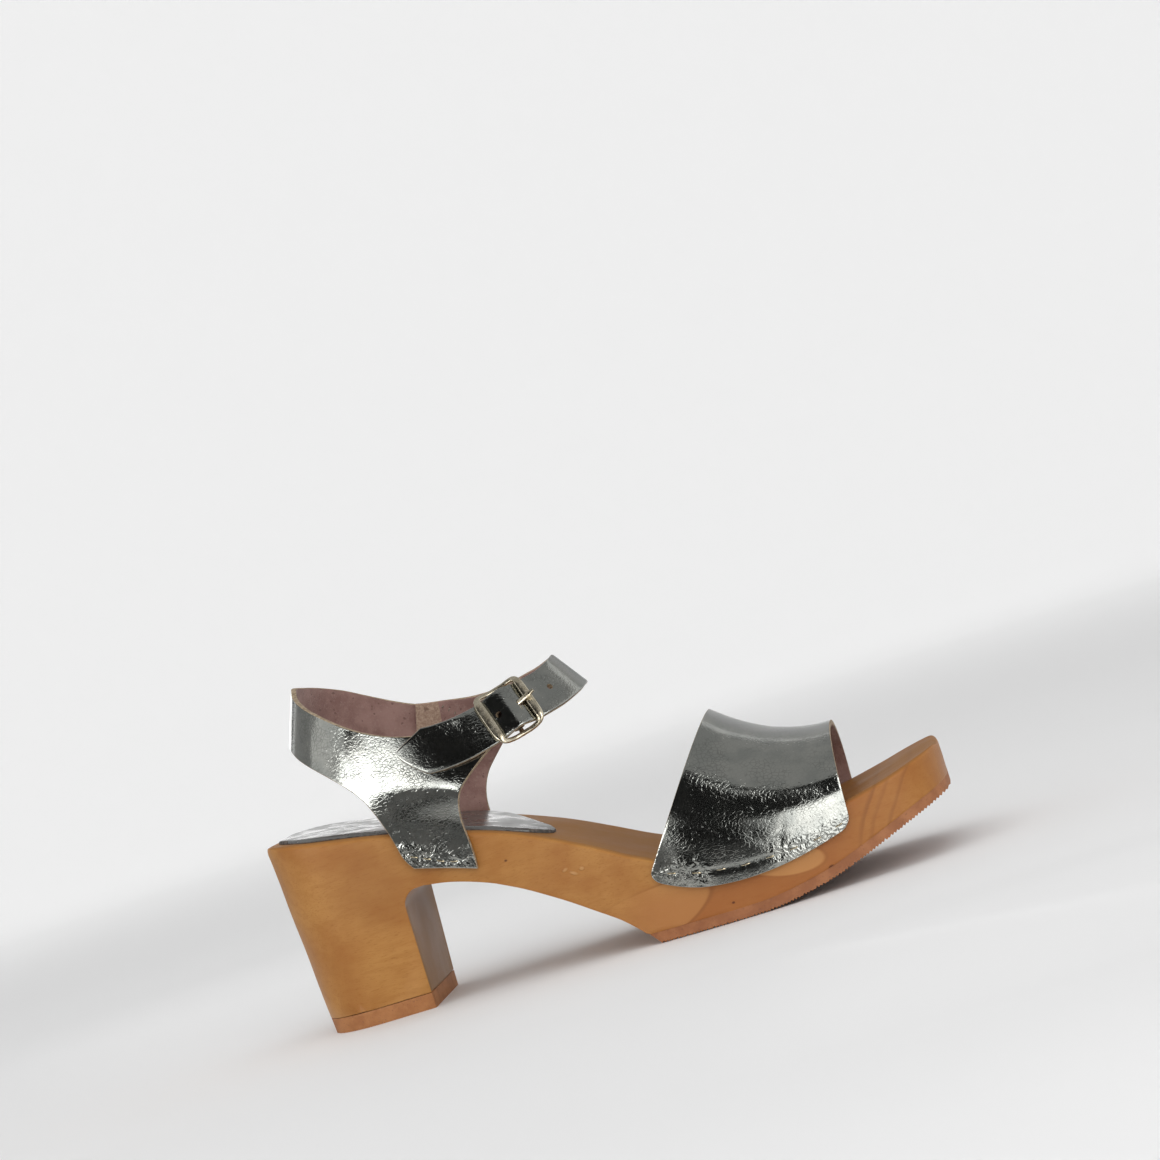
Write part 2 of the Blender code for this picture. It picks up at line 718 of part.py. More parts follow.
def cutter_object(name, bm, matrix, collection):
    bmesh.ops.recalc_face_normals(bm, faces=bm.faces)
    mesh = bpy.data.meshes.new(name)
    bm.to_mesh(mesh)
    bm.free()
    obj = bpy.data.objects.new(name, mesh)
    collection.objects.link(obj)
    obj.matrix_world = matrix
    obj.hide_render = True
    obj.display_type = "WIRE"
    return obj


def cylinder(radius, depth, segments=20):
    bm = bmesh.new()
    bmesh.ops.create_cone(bm, cap_ends=True, segments=segments, radius1=radius,
                          radius2=radius, depth=depth)
    return bm


def box(x, y, z):
    bm = bmesh.new()
    bmesh.ops.create_cube(bm, size=1)
    bmesh.ops.scale(bm, vec=(x, y, z), verts=bm.verts)
    return bm


def axes_matrix(origin, x, y, z):
    matrix = Matrix((x, y, z)).transposed().to_4x4()
    matrix.translation = origin
    return matrix


def pin_origin():
    """Middle of the buckle's centre bar."""
    middle, _, _, out = buckle_frame_axes()
    return middle + out * PIN_HEIGHT


def add_buckle_sleeve(obj):
    """The tab's fold round the centre bar, with a slot for the prong."""
    _, along, across, out = buckle_frame_axes()
    turned = axes_matrix(pin_origin(), along, out, across)
    sleeve = cutter_object("buckle_sleeve_form", cylinder(SLEEVE_RADIUS, SLEEVE_LENGTH),
                           turned, CUTTERS)
    bore = cutter_object("buckle_pin_bore", cylinder(PIN_BORE, SLEEVE_LENGTH * 1.5), turned,
                         CUTTERS)
    slot_size = (2 * SLOT_REACH, 3 * SLEEVE_RADIUS, SLOT_WIDTH)
    slot = cutter_object("prong_slot", box(*slot_size), turned, CUTTERS)
    boolean(obj, sleeve, "UNION")
    boolean(obj, bore, "DIFFERENCE")
    boolean(obj, slot, "DIFFERENCE")


def strap_offset(run):
    """Middle of the strap out from the quarter's face, by distance from the centre bar."""
    reach = BUCKLE_LENGTH / 2 - BAR_WIDTH / 2
    inside = max(0, 1 - (run / reach) ** 2) ** 2
    return GAP + STRAP_THICKNESS / 2 + STRAP_BUMP * inside


def strap_path():
    """Stations of the ankle strap from the tail's tip over the crest to its sewn end."""
    stations = []
    turns = list(np.linspace(TAIL_TURN, BUCKLE_TURN - 0.13, 8)[:-1])
    turns += list(np.linspace(BUCKLE_TURN - 0.13, BUCKLE_TURN + 0.13, 25))
    turns += list(np.linspace(BUCKLE_TURN + 0.13, 1, 7)[1:])
    speed = ring_speed(BUCKLE_TURN)
    for turn in turns:
        stations.append((turn, "outer", strap_offset((turn - BUCKLE_TURN) * speed)))
    inside = -(QUARTER_THICKNESS + GAP + STRAP_THICKNESS / 2)
    flat = GAP + STRAP_THICKNESS / 2
    for turn in np.linspace(1, SEWN_TURN, 15)[1:]:
        share = blend(0.80, 0.98, turn)
        stations.append((turn, "inner", mix(inside, flat, share)))
    return stations


def strap_frames():
    """Middle points and directions along the strap, tail first."""
    stations = strap_path()
    points = []
    for turn, side, offset in stations:
        middle = ring_middle(turn, side)
        ahead = ring_middle(min(turn + 0.01, 1), side)
        behind = ring_middle(turn - 0.01, side)
        along = ahead - behind
        if turn > 0.995:
            along = Vector((0, 1, 0))
        elif side == "inner":
            along = -along
        along.normalize()
        across, out = strap_axes(along, turn, side)
        points.append((middle + out * offset, across, out))
    frames = []
    for i, (point, across, out) in enumerate(points):
        before = points[max(i - 1, 0)][0]
        after = points[min(i + 1, len(points) - 1)][0]
        along = (after - before).normalized()
        across = (across - along * across.dot(along)).normalized()
        normal = across.cross(along)
        if normal.dot(out) < 0:
            normal = -normal
        frames.append((point, along, across, normal.normalized()))
    return frames


def strap_section(point, across, out, width, thickness):
    """Flat section with rounded long edges."""
    edge = thickness * 0.35
    shape = [(-width / 2, -thickness / 2 + edge), (-width / 2 + edge, -thickness / 2),
             (0, -thickness / 2), (width / 2 - edge, -thickness / 2),
             (width / 2, -thickness / 2 + edge), (width / 2, thickness / 2 - edge),
             (width / 2 - edge, thickness / 2), (0, thickness / 2),
             (-width / 2 + edge, thickness / 2), (-width / 2, thickness / 2 - edge)]
    return [point + across * w + out * n for w, n in shape]


def make_ankle_strap(material, collection):
    frames = strap_frames()
    rings = []
    run = 0
    last = frames[0][0]
    for point, _, across, out in frames:
        run += (point - last).length
        last = point
        share = min(1, 0.12 + 0.88 * (run / TAIL_POINT) ** 0.8)
        rings.append(strap_section(point, across, out, STRAP_WIDTH * share, STRAP_THICKNESS))
    obj = new_object("ankle_strap", loft(rings), material, collection)
    cut_strap_holes(obj, frames)
    return obj


def cut_strap_holes(obj, frames):
    """Punched holes: one takes the prong, one lies in the buckle, one is past it."""
    points = [frame[0] for frame in frames]
    steps = [0] + [(b - a).length for a, b in zip(points, points[1:])]
    runs = np.cumsum(steps)
    prong_cut = cutter_object("prong_hole", cylinder(PRONG_WIDTH / 2 + PRONG_PLAY, 0.010, 12),
                              prong_hole_matrix(), CUTTERS)
    boolean(obj, prong_cut, "DIFFERENCE")
    pin = pin_origin()
    start = runs[int(np.argmin([(p - pin).length for p in points]))]
    for run in HOLE_RUNS:
        i = int(np.argmin(abs(runs - start - run)))
        point, along, across, normal = frames[i]
        matrix = axes_matrix(point, along, normal.cross(along), normal)
        matrix = matrix @ Matrix.Rotation(math.radians(8), 4, "Z")
        hole = cutter_object("strap_hole", cylinder(HOLE_DIAMETER / 2, 0.003, 12), matrix,
                             CUTTERS)
        boolean(obj, hole, "DIFFERENCE")


def prong_slope():
    return (PRONG_TIP_HEIGHT - PIN_HEIGHT) / (BUCKLE_LENGTH / 2 - BAR_WIDTH / 2)


def prong_hole_matrix():
    _, along, across, out = buckle_frame_axes()
    direction = (along + out * prong_slope()).normalized()
    centre = pin_origin() + direction * PRONG_CROSSING * 1.15
    normal = across.cross(direction)
    return axes_matrix(centre, normal, across, direction)


def make_buckle_frame(material, collection):
    """Bowed frame with flat bars, and its round centre bar."""
    middle, along, across, out = buckle_frame_axes()
    half_length = BUCKLE_LENGTH / 2 - BAR_WIDTH / 2
    half_width = STRAP_WIDTH / 2 + RAIL_CLEARANCE + RAIL_WIDTH / 2
    count = 40
    rings = []
    for k in range(count):
        angle = 2 * math.pi * k / count
        power = 0.26
        a = math.copysign(abs(math.cos(angle)) ** power, math.cos(angle)) * half_length
        w = math.copysign(abs(math.sin(angle)) ** power, math.sin(angle)) * half_width
        rings.append((a, w))
    sections = []
    for k, (a, w) in enumerate(rings):
        before = Vector(rings[k - 1])
        after = Vector(rings[(k + 1) % count])
        tangent = (after - before).normalized()
        side = Vector((tangent.y, -tangent.x))
        bar = abs(math.cos(2 * math.pi * k / count)) ** 2
        width = mix(RAIL_WIDTH, BAR_WIDTH, bar)
        height = mix(PIN_HEIGHT, BAR_HEIGHT, (a / half_length) ** 2)
        section = []
        for j in range(8):
            turn = 2 * math.pi * (j + 0.5) / 8
            sideways = side * math.cos(turn) * width / 2
            lift = height + math.sin(turn) * BAR_THICKNESS / 2
            section.append(middle + along * (a + sideways.x) + across * (w + sideways.y)
                           + out * lift)
        sections.append(section)
    obj = new_object("buckle_frame", loft(sections, closed=True), material, collection)
    turned = axes_matrix(pin_origin(), along, out, across)
    pin = cutter_object("buckle_pin_form", cylinder(PIN_RADIUS, 2 * half_width, 12), turned,
                        CUTTERS)
    boolean(obj, pin, "UNION")
    return obj


def make_buckle_prong(material, collection):
    """Flat prong: an eye round the centre bar and an arm over the toe-side bar."""
    _, along, across, out = buckle_frame_axes()
    inner = PIN_BORE
    outer = PRONG_EYE
    half = PRONG_THICKNESS / 2
    slope = math.atan(prong_slope())
    reach = (BUCKLE_LENGTH / 2 + BAR_WIDTH * 0.1) / math.cos(slope)
    start = math.asin(half / outer)
    profile = []
    for k in range(15):
        angle = start + (2 * math.pi - 2 * start) * k / 14
        profile.append((outer * math.cos(angle), outer * math.sin(angle)))
    profile += [(reach - half, -half), (reach, 0), (reach - half, half)]
    hole = [(inner * math.cos(2 * math.pi * k / 14), inner * math.sin(2 * math.pi * k / 14))
            for k in range(14)]
    curve = bpy.data.curves.new("prong_outline", "CURVE")
    curve.dimensions = "2D"
    curve.fill_mode = "BOTH"
    curve.extrude = PRONG_WIDTH / 2
    for outline in (profile, hole):
        spline = curve.splines.new("POLY")
        spline.points.add(len(outline) - 1)
        for point, (x, y) in zip(spline.points, outline):
            point.co = (x, y, 0, 1)
        spline.use_cyclic_u = True
    direction = (along * math.cos(slope) + out * math.sin(slope)).normalized()
    normal = (out * math.cos(slope) - along * math.sin(slope)).normalized()
    source = bpy.data.objects.new("prong_outline", curve)
    collection.objects.link(source)
    bpy.context.view_layer.update()
    graph = bpy.context.evaluated_depsgraph_get()
    mesh = bpy.data.meshes.new_from_object(source.evaluated_get(graph))
    bpy.data.objects.remove(source)
    bm = bmesh.new()
    bm.from_mesh(mesh)
    bpy.data.meshes.remove(mesh)
    bmesh.ops.remove_doubles(bm, verts=bm.verts, dist=WELD / 50)
    bmesh.ops.transform(bm, matrix=axes_matrix(pin_origin(), direction, normal,
                                               direction.cross(normal)), verts=bm.verts)
    return new_object("buckle_prong", bm, material, collection)


def make_material(name, colour, roughness, metallic):
    material = bpy.data.materials.new(name)
    material.use_nodes = True
    shader = material.node_tree.nodes["Principled BSDF"]
    shader.inputs["Base Color"].default_value = (*colour, 1)
    shader.inputs["Roughness"].default_value = roughness
    shader.inputs["Metallic"].default_value = metallic
    material.diffuse_color = (*colour, 1)
    return material


for old in list(bpy.data.objects):
    bpy.data.objects.remove(old)

SANDAL = bpy.data.collections.new("clog_sandal")
CUTTERS = bpy.data.collections.new("cutters")
bpy.context.scene.collection.children.link(SANDAL)
bpy.context.scene.collection.children.link(CUTTERS)

MAKERS = {
    "wood_sole": (make_wood_sole, (0.47, 0.22, 0.08), 0.35, 0),
    "forefoot_outsole": (make_outsole, (0.36, 0.14, 0.06), 0.6, 0),
    "heel_lift": (make_heel_lift, (0.36, 0.14, 0.06), 0.6, 0),
    "heel_sock": (make_heel_sock, (0.75, 0.76, 0.78), 0.35, 0.8),
    "vamp_band": (make_vamp_band, (0.42, 0.42, 0.42), 0.25, 0.9),
    "heel_quarter": (make_heel_quarter, (0.42, 0.42, 0.42), 0.25, 0.9),
    "ankle_strap": (make_ankle_strap, (0.42, 0.42, 0.42), 0.25, 0.9),
    "buckle_frame": (make_buckle_frame, (0.50, 0.42, 0.30), 0.3, 1),
    "buckle_prong": (make_buckle_prong, (0.50, 0.42, 0.30), 0.3, 1),
}

pieces = []
for piece_name, (maker, colour, roughness, metallic) in MAKERS.items():
    pieces.append(maker(make_material(piece_name, colour, roughness, metallic), SANDAL))

shoe = bpy.data.objects.new("clog_sandal_frame", None)
SANDAL.objects.link(shoe)
shoe.location.x = -HEEL_FLAT_MIDDLE
for piece in pieces + list(CUTTERS.objects):
    piece.parent = shoe
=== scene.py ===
"""Looks of the clog sandal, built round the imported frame.

Lengths are in metres. Shapes are worked out with the heel's foot at x = 0, as in the part's
source, and moved to the frame's origin when each piece is made.
"""

import math

import bmesh
import bpy
import numpy as np
from mathutils import Matrix, Vector, noise


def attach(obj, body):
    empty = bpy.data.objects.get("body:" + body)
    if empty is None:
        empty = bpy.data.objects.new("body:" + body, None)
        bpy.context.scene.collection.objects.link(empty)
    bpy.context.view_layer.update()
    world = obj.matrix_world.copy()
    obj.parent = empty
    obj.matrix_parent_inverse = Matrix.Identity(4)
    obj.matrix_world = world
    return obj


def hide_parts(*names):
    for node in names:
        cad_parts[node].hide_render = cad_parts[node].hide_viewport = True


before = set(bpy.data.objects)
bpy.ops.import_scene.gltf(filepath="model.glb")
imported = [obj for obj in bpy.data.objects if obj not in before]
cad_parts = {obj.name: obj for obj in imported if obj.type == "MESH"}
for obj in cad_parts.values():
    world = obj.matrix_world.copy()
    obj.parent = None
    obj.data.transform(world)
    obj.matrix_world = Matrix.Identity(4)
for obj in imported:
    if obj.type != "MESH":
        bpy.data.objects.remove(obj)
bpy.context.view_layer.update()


# Driving sizes of the sole, in metres
LENGTH = 0.238  # back of the footbed to the tip of the toe
BALL_WIDTH = 0.087  # widest across the wood
HEEL_WIDTH = 0.062  # across the heel seat
SEAT_HEIGHT = 0.0696  # footbed above the floor at the heel
TOE_SPRING = 0.020  # underside of the toe above the floor
OUTSOLE_THICKNESS = 0.004
LIFT_THICKNESS = 0.0055
SOCK_THICKNESS = 0.0013
EDGE_ROUND = 0.002  # rounding of the footbed's rim
BREAST = 0.1895  # front face of the heel, as a share of the length
HEEL_LEAN = 0.0039  # how far the heel's back leans out from floor to seat
HEEL_TAPER = 0.177  # share of its width that the heel loses down to the floor
BREAST_FILLET = 0.006

# Driving sizes of the upper
BAND_THICKNESS = 0.0020
BAND_RISE = 0.0450  # top of the band above the footbed at its rear edge
BAND_LAP = 0.0100  # how far the band laps down the wood
QUARTER_THICKNESS = 0.0020
STRAP_THICKNESS = 0.0018
STRAP_WIDTH = 0.0160
ANKLE_RISE = 0.0286  # scale of the ankle ring's heights above the heel seat
ANKLE_WIDTH = 0.068  # across the quarter at the ankle
GAP = 0.0003  # between pieces that touch

# Driving sizes of the buckle
BUCKLE_LENGTH = 0.0190  # outside, along the strap
BAR_WIDTH = 0.0028
BAR_THICKNESS = 0.0020
RAIL_WIDTH = 0.0016
RAIL_CLEARANCE = 0.0007  # between the strap's edge and the rail
PIN_RADIUS = 0.0009  # centre bar
SLEEVE_WALL = 0.0012  # leather tab round the centre bar
PRONG_WIDTH = 0.0017
HOLE_DIAMETER = 0.0022
PRONG_THICKNESS = 0.0011

# Heights in the buckle, out from the quarter's outer face
PIN_HEIGHT = 0.0005
BAR_HEIGHT = GAP * 2 + STRAP_THICKNESS + BAR_THICKNESS / 2
PRONG_TIP_HEIGHT = BAR_HEIGHT + BAR_THICKNESS / 2 + GAP + PRONG_THICKNESS
PIN_BORE = PIN_RADIUS + GAP
SLEEVE_RADIUS = PIN_BORE + SLEEVE_WALL
STRAP_BUMP = PIN_HEIGHT + SLEEVE_RADIUS

# Places along the strap and the buckle
SLEEVE_LENGTH = STRAP_WIDTH * 0.86
SLOT_WIDTH = PRONG_WIDTH + 0.0014  # opening for the prong in the tab's fold
TAIL_TURN = 0.418  # the tail's tip, as a turn of the ankle ring
SEWN_TURN = 0.40  # the end sewn inside the quarter
TAIL_POINT = 0.0095  # length of the tail's pointed part
PRONG_CROSSING = 0.0047  # from the centre bar to the prong's hole
HOLE_RUNS = (-0.0036, 0.0186)  # from the centre bar to the two other holes
SKIVED_RINGS = 14  # sections of the sewn end that are thinned and paler

# What the finished looks add to the solids
BAND_SHOULDER = 0.0005  # foot of the band's arch above the footbed's rim
SHEET_SHARE = 0.92  # wall of a leather sheet, so that its relief stays in the solid's place
PRESS_REACH = 0.0034  # how far from a nailed row the foil is crumpled
TREAD_REAR = 0.0006  # rear of the outsole's tread ahead of the arch's end
TREAD_CUT = 0.0032  # how far its upper edge reaches back from there
TOOTH_PITCH = 0.0012
TOOTH_DEPTH = 0.0009
SOCK_ROUND = 0.066  # length of the sock's rounded back, as a station
SOCK_RIM = 0.0009
SOCK_SIDE = 0.93  # the sock's edge where its tip starts, as in SOCK_TIP
STAPLE_RADIUS = 0.00024
THREAD_RADIUS = 0.00019

# Upright planes of the outer side's details, for places read from the photo
BAND_SIDE = -0.0455
LEG_SIDE = -0.0335
ROUGH_SPOT_SIDE = -0.031

BACK = -HEEL_LEAN - 0.0007  # back of the footbed, behind the heel's foot
HEEL_FOOT_BACK = BACK + HEEL_LEAN
HEEL_FLAT_MIDDLE = HEEL_FOOT_BACK + 0.021  # origin of the finished part
TO_ROW = Vector((-HEEL_FLAT_MIDDLE, 0, 0))

# Footbed height along the shoe, as shares of the length and of the seat height
FOOTBED = {
    "station": (0, 0.05, 0.10, 0.15, 0.20, 0.28, 0.35, 0.42, 0.49, 0.545, 0.58, 0.62, 0.66,
                0.72, 0.78, 0.84, 0.90, 0.96, 1),
    "height": (1.004, 0.993, 0.968, 0.937, 0.901, 0.836, 0.764, 0.668, 0.545, 0.4425, 0.3865,
               0.349, 0.338, 0.3405, 0.359, 0.391, 0.435, 0.487, 0.523),
}

# Underside of the arch, from the heel's breast to the forefoot
ARCH = {
    "station": (0.2294, 0.27, 0.32, 0.37, 0.42, 0.47, 0.50, 0.52, 0.5408),
    "height": (0.606, 0.582, 0.526, 0.4425, 0.3405, 0.2227, 0.151, 0.085, 0.003),
}

# Underside of the outsole, as shares of the length and of the toe spring
TREAD = {
    "station": (0.50, 0.60, 0.69, 0.73, 0.77, 0.81, 0.85, 0.90, 0.95, 1),
    "rise": (0, 0, 0, 0.035, 0.115, 0.22, 0.37, 0.585, 0.80, 1),
}

# Half widths of the sole: a share of the heel's half width plus shares of the ball's
PLAN = {
    "station": (0, 0.10, 0.20, 0.30, 0.38, 0.46, 0.54, 0.62, 0.69, 0.76, 0.84, 0.92, 1),
    "heel": (0.96, 0.98, 1, 1, 0.5, 0.15, 0, 0, 0, 0, 0, 0, 0),
    "outer": (0, 0, 0, 0, 0.379, 0.702, 0.915, 0.985, 1, 0.985, 0.94, 0.885, 0.83),
    "inner": (0, 0, 0, -0.03, 0.324, 0.617, 0.815, 0.91, 0.975, 1, 0.99, 0.955, 0.90),
}
BACK_ROUND = {"length": 0.112, "power": 2.3}
TOE_ROUND = {"length": 0.120, "power": 3.2}

# Edges of the heel sock across the footbed: 1 is the wood's outer edge, -1 its inner edge
SOCK_TIP = {
    "station": (0.31, 0.35, 0.38, 0.405, 0.420, 0.430),
    "outer": (0.93, 0.93, 0.90, 0.82, 0.72, 0.60),
    "inner": (-0.93, -0.70, -0.28, 0.08, 0.26, 0.44),
}
SOCK_START = 0.024
SOCK_INSET = 0.0022

# Top of the vamp band's arch above the footbed, as a share of its rise
BAND_CREST = {
    "station": (0.52, 0.586, 0.65, 0.696, 0.721, 0.746, 0.771, 0.797, 0.822, 0.856),
    "rise": (1.60, 1.42, 1.20, 1, 0.89, 0.796, 0.715, 0.651, 0.600, 0.550),
}
BAND_REAR_FOOT = 0.5610  # station of the band's rear edge at the wood
BAND_REAR_LEAN = 0.70  # how far the rear edge leans forward as it rises
BAND_FRONT_FOOT = 0.8530
BAND_FRONT_LEAN = 0.045
BAND_CORNER = 0.004
BAND_POWER = 2.3
BAND_LEAN_IN = 0.03  # crest towards the inner side, as a share of the ball width

# Ankle ring, from the middle of the back (turn 0) over the side to the crest (turn 1).
# x is a share of the length, y of the half ankle width, z is the middle's height above the
# seat in ankle rises, and lean is how far the leather leans in as it rises.
ANKLE = {
    "turn": (0, 0.07, 0.14, 0.22, 0.31, 0.40, 0.49, 0.58, 0.66, 0.74, 0.82, 0.89, 0.95, 1),
    "x": (0.091, 0.098, 0.116, 0.150, 0.196, 0.246, 0.297, 0.343, 0.383, 0.4185, 0.454,
          0.484, 0.503, 0.508),
    "y": (0, 0.28, 0.59, 0.81, 0.95, 1, 1, 0.955, 0.875, 0.785, 0.69, 0.53, 0.29, 0),
    "outer_z": (1.48, 1.40, 1.27, 1.08, 0.85, 0.68, 0.59, 0.585, 0.635, 0.705, 0.775, 0.83,
                0.905, 0.955),
    "inner_z": (1.48, 1.43, 1.35, 1.22, 1.03, 0.87, 0.80, 0.77, 0.785, 0.82, 0.87, 0.91,
                0.945, 0.955),
    "lean": (0.36, 0.34, 0.28, 0.18, 0.10, 0.08, 0.12, 0.28, 0.43, 0.45, 0.46, 0.60, 0.69,
             0.71),
}
BUCKLE_TURN = 0.753

# Edges of the quarter along the ring, as heights above the seat in ankle rises
QUARTER_EDGE = {
    "turn": (0, 0.035, 0.07, 0.14, 0.22, 0.31, 0.40, 0.49, 0.58, 0.66, 0.74),
    "outer_top": (1.80, 1.77, 1.70, 1.57, 1.37, 1.11, 0.90, 0.79, 0.80, 0.86, 0.93),
    "inner_top": (1.80, 1.79, 1.77, 1.71, 1.59, 1.37, 1.15, 1.01, 0.97, 0.99, 1.03),
    "outer_low": (1.14, 1.12, 1.06, 0.89, 0.62, 0.28, 0.19, 0.12, 0.17, 0.40, 0.50),
    "inner_low": (1.14, 1.12, 1.07, 0.93, 0.68, 0.32, 0.21, 0.14, 0.22, 0.50, 0.62),
}

# Legs of the quarter from the ring down to the wood. rear and front are stations, and
# their heights are above the footbed at the leg, in ankle rises.
LEG = {
    "rear": (0.180, 0.1935, 0.2035, 0.211, 0.214, 0.226),
    "front": (0.327, 0.3185, 0.3145, 0.3145, 0.3175, 0.315),
    "rear_height": (0.545, 0.325, 0.09, -0.13, -0.32, -0.44),
    "front_height": (0.54, 0.36, 0.19, 0.01, -0.23, -0.475),
}


def smooth(stations, values):
    """A smooth curve through a table's rows, as a function."""
    xs = np.array(stations, float)
    ys = np.array(values, float)
    steps = np.diff(xs)
    rises = np.diff(ys) / steps
    slopes = np.empty(len(xs))
    slopes[0] = rises[0]
    slopes[-1] = rises[-1]
    slopes[1:-1] = (rises[:-1] * steps[1:] + rises[1:] * steps[:-1]) / (steps[1:] + steps[:-1])

    def value(x):
        i = int(np.clip(np.searchsorted(xs, x) - 1, 0, len(xs) - 2))
        h = steps[i]
        t = (x - xs[i]) / h
        if t < 0 or t > 1:
            end = -1 if t > 1 else 0
            return float(ys[end] + slopes[end] * (x - xs[end]))
        a = (1 + 2 * t) * (1 - t) ** 2
        b = t * (1 - t) ** 2
        c = t * t * (3 - 2 * t)
        d = t * t * (t - 1)
        return float(a * ys[i] + b * h * slopes[i] + c * ys[i + 1] + d * h * slopes[i + 1])

    return value


def blend(low, high, x):
    """0 below low, 1 above high, and a soft step between."""
    t = min(max((x - low) / (high - low), 0), 1)
    return t * t * (3 - 2 * t)


def mix(a, b, t):
    return a + (b - a) * t


footbed_share = smooth(FOOTBED["station"], FOOTBED["height"])
arch_share = smooth(ARCH["station"], ARCH["height"])
tread_share = smooth(TREAD["station"], TREAD["rise"])
plan_heel = smooth(PLAN["station"], PLAN["heel"])
plan_side = {side: smooth(PLAN["station"], PLAN[side]) for side in ("outer", "inner")}
crest_share = smooth(BAND_CREST["station"], BAND_CREST["rise"])


def station_x(station):
    return BACK + station * LENGTH


def x_station(x):
    return (x - BACK) / LENGTH


def footbed_z(x):
    return SEAT_HEIGHT * footbed_share(x_station(x))


def tread_z(x):
    return TOE_SPRING * max(0, tread_share(x_station(x)))


def arch_z(x):
    return SEAT_HEIGHT * arch_share(x_station(x))


def end_round(station):
    """Share of the full width that is left near the rounded back and toe."""
    back = max(0, 1 - station / BACK_ROUND["length"])
    toe = max(0, 1 - (1 - station) / TOE_ROUND["length"])
    back_share = max(0, 1 - back ** BACK_ROUND["power"]) ** (1 / BACK_ROUND["power"])
    toe_share = max(0, 1 - toe ** TOE_ROUND["power"]) ** (1 / TOE_ROUND["power"])
    return back_share * toe_share


def plan_half(x, side):
    """Half width of the footbed on the outer or inner side."""
    station = x_station(x)
    heel = plan_heel(station) * HEEL_WIDTH / 2
    ball = plan_side[side](station) * BALL_WIDTH / 2
    return (heel + ball) * end_round(station)


def side_half(x, z, side):
    """Half width at a height: the heel block narrows down to the floor."""
    fade = 1 - blend(0.25, 0.45, x_station(x))
    depth = min(max((SEAT_HEIGHT - z) / SEAT_HEIGHT, 0), 1)
    return plan_half(x, side) * (1 - HEEL_TAPER * fade * depth ** 1.5)


def heel_x(x, z):
    """Where a point of the footbed's outline lies lower down, on the leaning heel."""
    breast = station_x(BREAST)
    if x > breast:
        return x
    share = (breast - x) / (breast - BACK)
    return x + HEEL_LEAN * share * (1 - z / SEAT_HEIGHT)


def mix_points(a, b, t):
    return tuple(mix(p, q, t) for p, q in zip(a, b))


def end_drop(x):
    """How far the rim rounds down at the very back and toe."""
    radius = 1.5 * EDGE_ROUND
    edge = min(x - BACK, station_x(1) - x)
    if edge >= radius:
        return 0
    return radius - math.sqrt(max(0, radius ** 2 - (radius - edge) ** 2))


def end_stations(length, count, narrowest):
    """Stations that crowd towards a rounded end, as distances from it."""
    first = math.acos(1 - narrowest)
    return [length * (1 - math.cos(mix(first, math.pi / 2, k / count))) for k in range(count)]


def band_crest_z(x):
    return footbed_z(x) + BAND_RISE * crest_share(x_station(x))


def band_lap_z(x):
    """Lower edge of the band on the wood's side."""
    rear = station_x(BAND_REAR_FOOT)
    front = station_x(BAND_FRONT_FOOT)
    along = min(max((x - rear) / (front - rear), 0), 1)
    return footbed_z(x) - BAND_LAP * (0.80 + 0.23 * math.sin(math.pi * along))


def band_point(x, level, side):
    """Outer face of the band. Levels 0 to 1 go up the wood's side, 1 to 2 over the arch."""
    sign = -1 if side == "outer" else 1
    wall = plan_half(x, side) + GAP + BAND_THICKNESS
    shoulder = footbed_z(x) + BAND_SHOULDER
    if level <= 1:
        return (x, sign * wall, mix(band_lap_z(x), shoulder, level))
    angle = (level - 1) * math.pi / 2
    middle = BAND_LEAN_IN * BALL_WIDTH
    reach = sign * wall - middle
    share = 2 / BAND_POWER
    y = middle + reach * math.cos(angle) ** share
    z = shoulder + (band_crest_z(x) - shoulder) * math.sin(angle) ** share
    return (x, y, z)


def band_edge_x(level, side, foot, lean):
    """Where a level of the band meets its straight, leaning rear or front edge."""
    start = station_x(foot)
    base = band_lap_z(start)
    x = start
    for _ in range(40):
        z = band_point(x, level, side)[2]
        x = mix(x, start + lean * (z - base - BAND_CORNER), 0.5)
    return x


def corner_inset(level):
    """Rounded lower corners of the band."""
    height = level * BAND_LAP * 0.9
    rest = max(0, BAND_CORNER - height)
    return BAND_CORNER - math.sqrt(BAND_CORNER ** 2 - rest ** 2)


def grid_mesh(grid):
    bm = bmesh.new()
    rows = [[bm.verts.new(p) for p in row] for row in grid]
    add_cells(bm, rows)
    return bm


def add_cells(bm, rows):
    for a, b in zip(rows, rows[1:]):
        for i in range(len(a) - 1):
            bm.faces.new((a[i], a[i + 1], b[i + 1], b[i]))


ring_curve = {key: smooth(ANKLE["turn"], ANKLE[key]) for key in ANKLE if key != "turn"}


def ring_middle(turn, side):
    """Middle line of the ankle ring, the outer face of the quarter."""
    sign = -1 if side == "outer" else 1
    height = ring_curve["outer_z"] if side == "outer" else ring_curve["inner_z"]
    x = station_x(ring_curve["x"](turn))
    y = sign * ring_curve["y"](turn) * ANKLE_WIDTH / 2
    return Vector((x, y, SEAT_HEIGHT + height(turn) * ANKLE_RISE))


def ring_inward(turn, side):
    """Level direction from the ring's wall towards its inside."""
    ahead = ring_middle(min(turn + 0.01, 1), side)
    behind = ring_middle(max(turn - 0.01, 0), side)
    along = (ahead - behind).to_2d().normalized()
    inward = Vector((-along.y, along.x, 0))
    if side == "inner":
        inward = -inward
    if turn < 0.005:
        inward = Vector((1, 0, 0))
    if turn > 0.995:
        inward = Vector((-1, 0, 0))
    return inward


def ring_point(turn, z, side):
    """Outer face of the quarter at a height, leaning in as it rises."""
    middle = ring_middle(turn, side)
    inward = ring_inward(turn, side)
    point = middle + inward * ring_curve["lean"](turn) * (z - middle.z)
    point.z = z
    return point


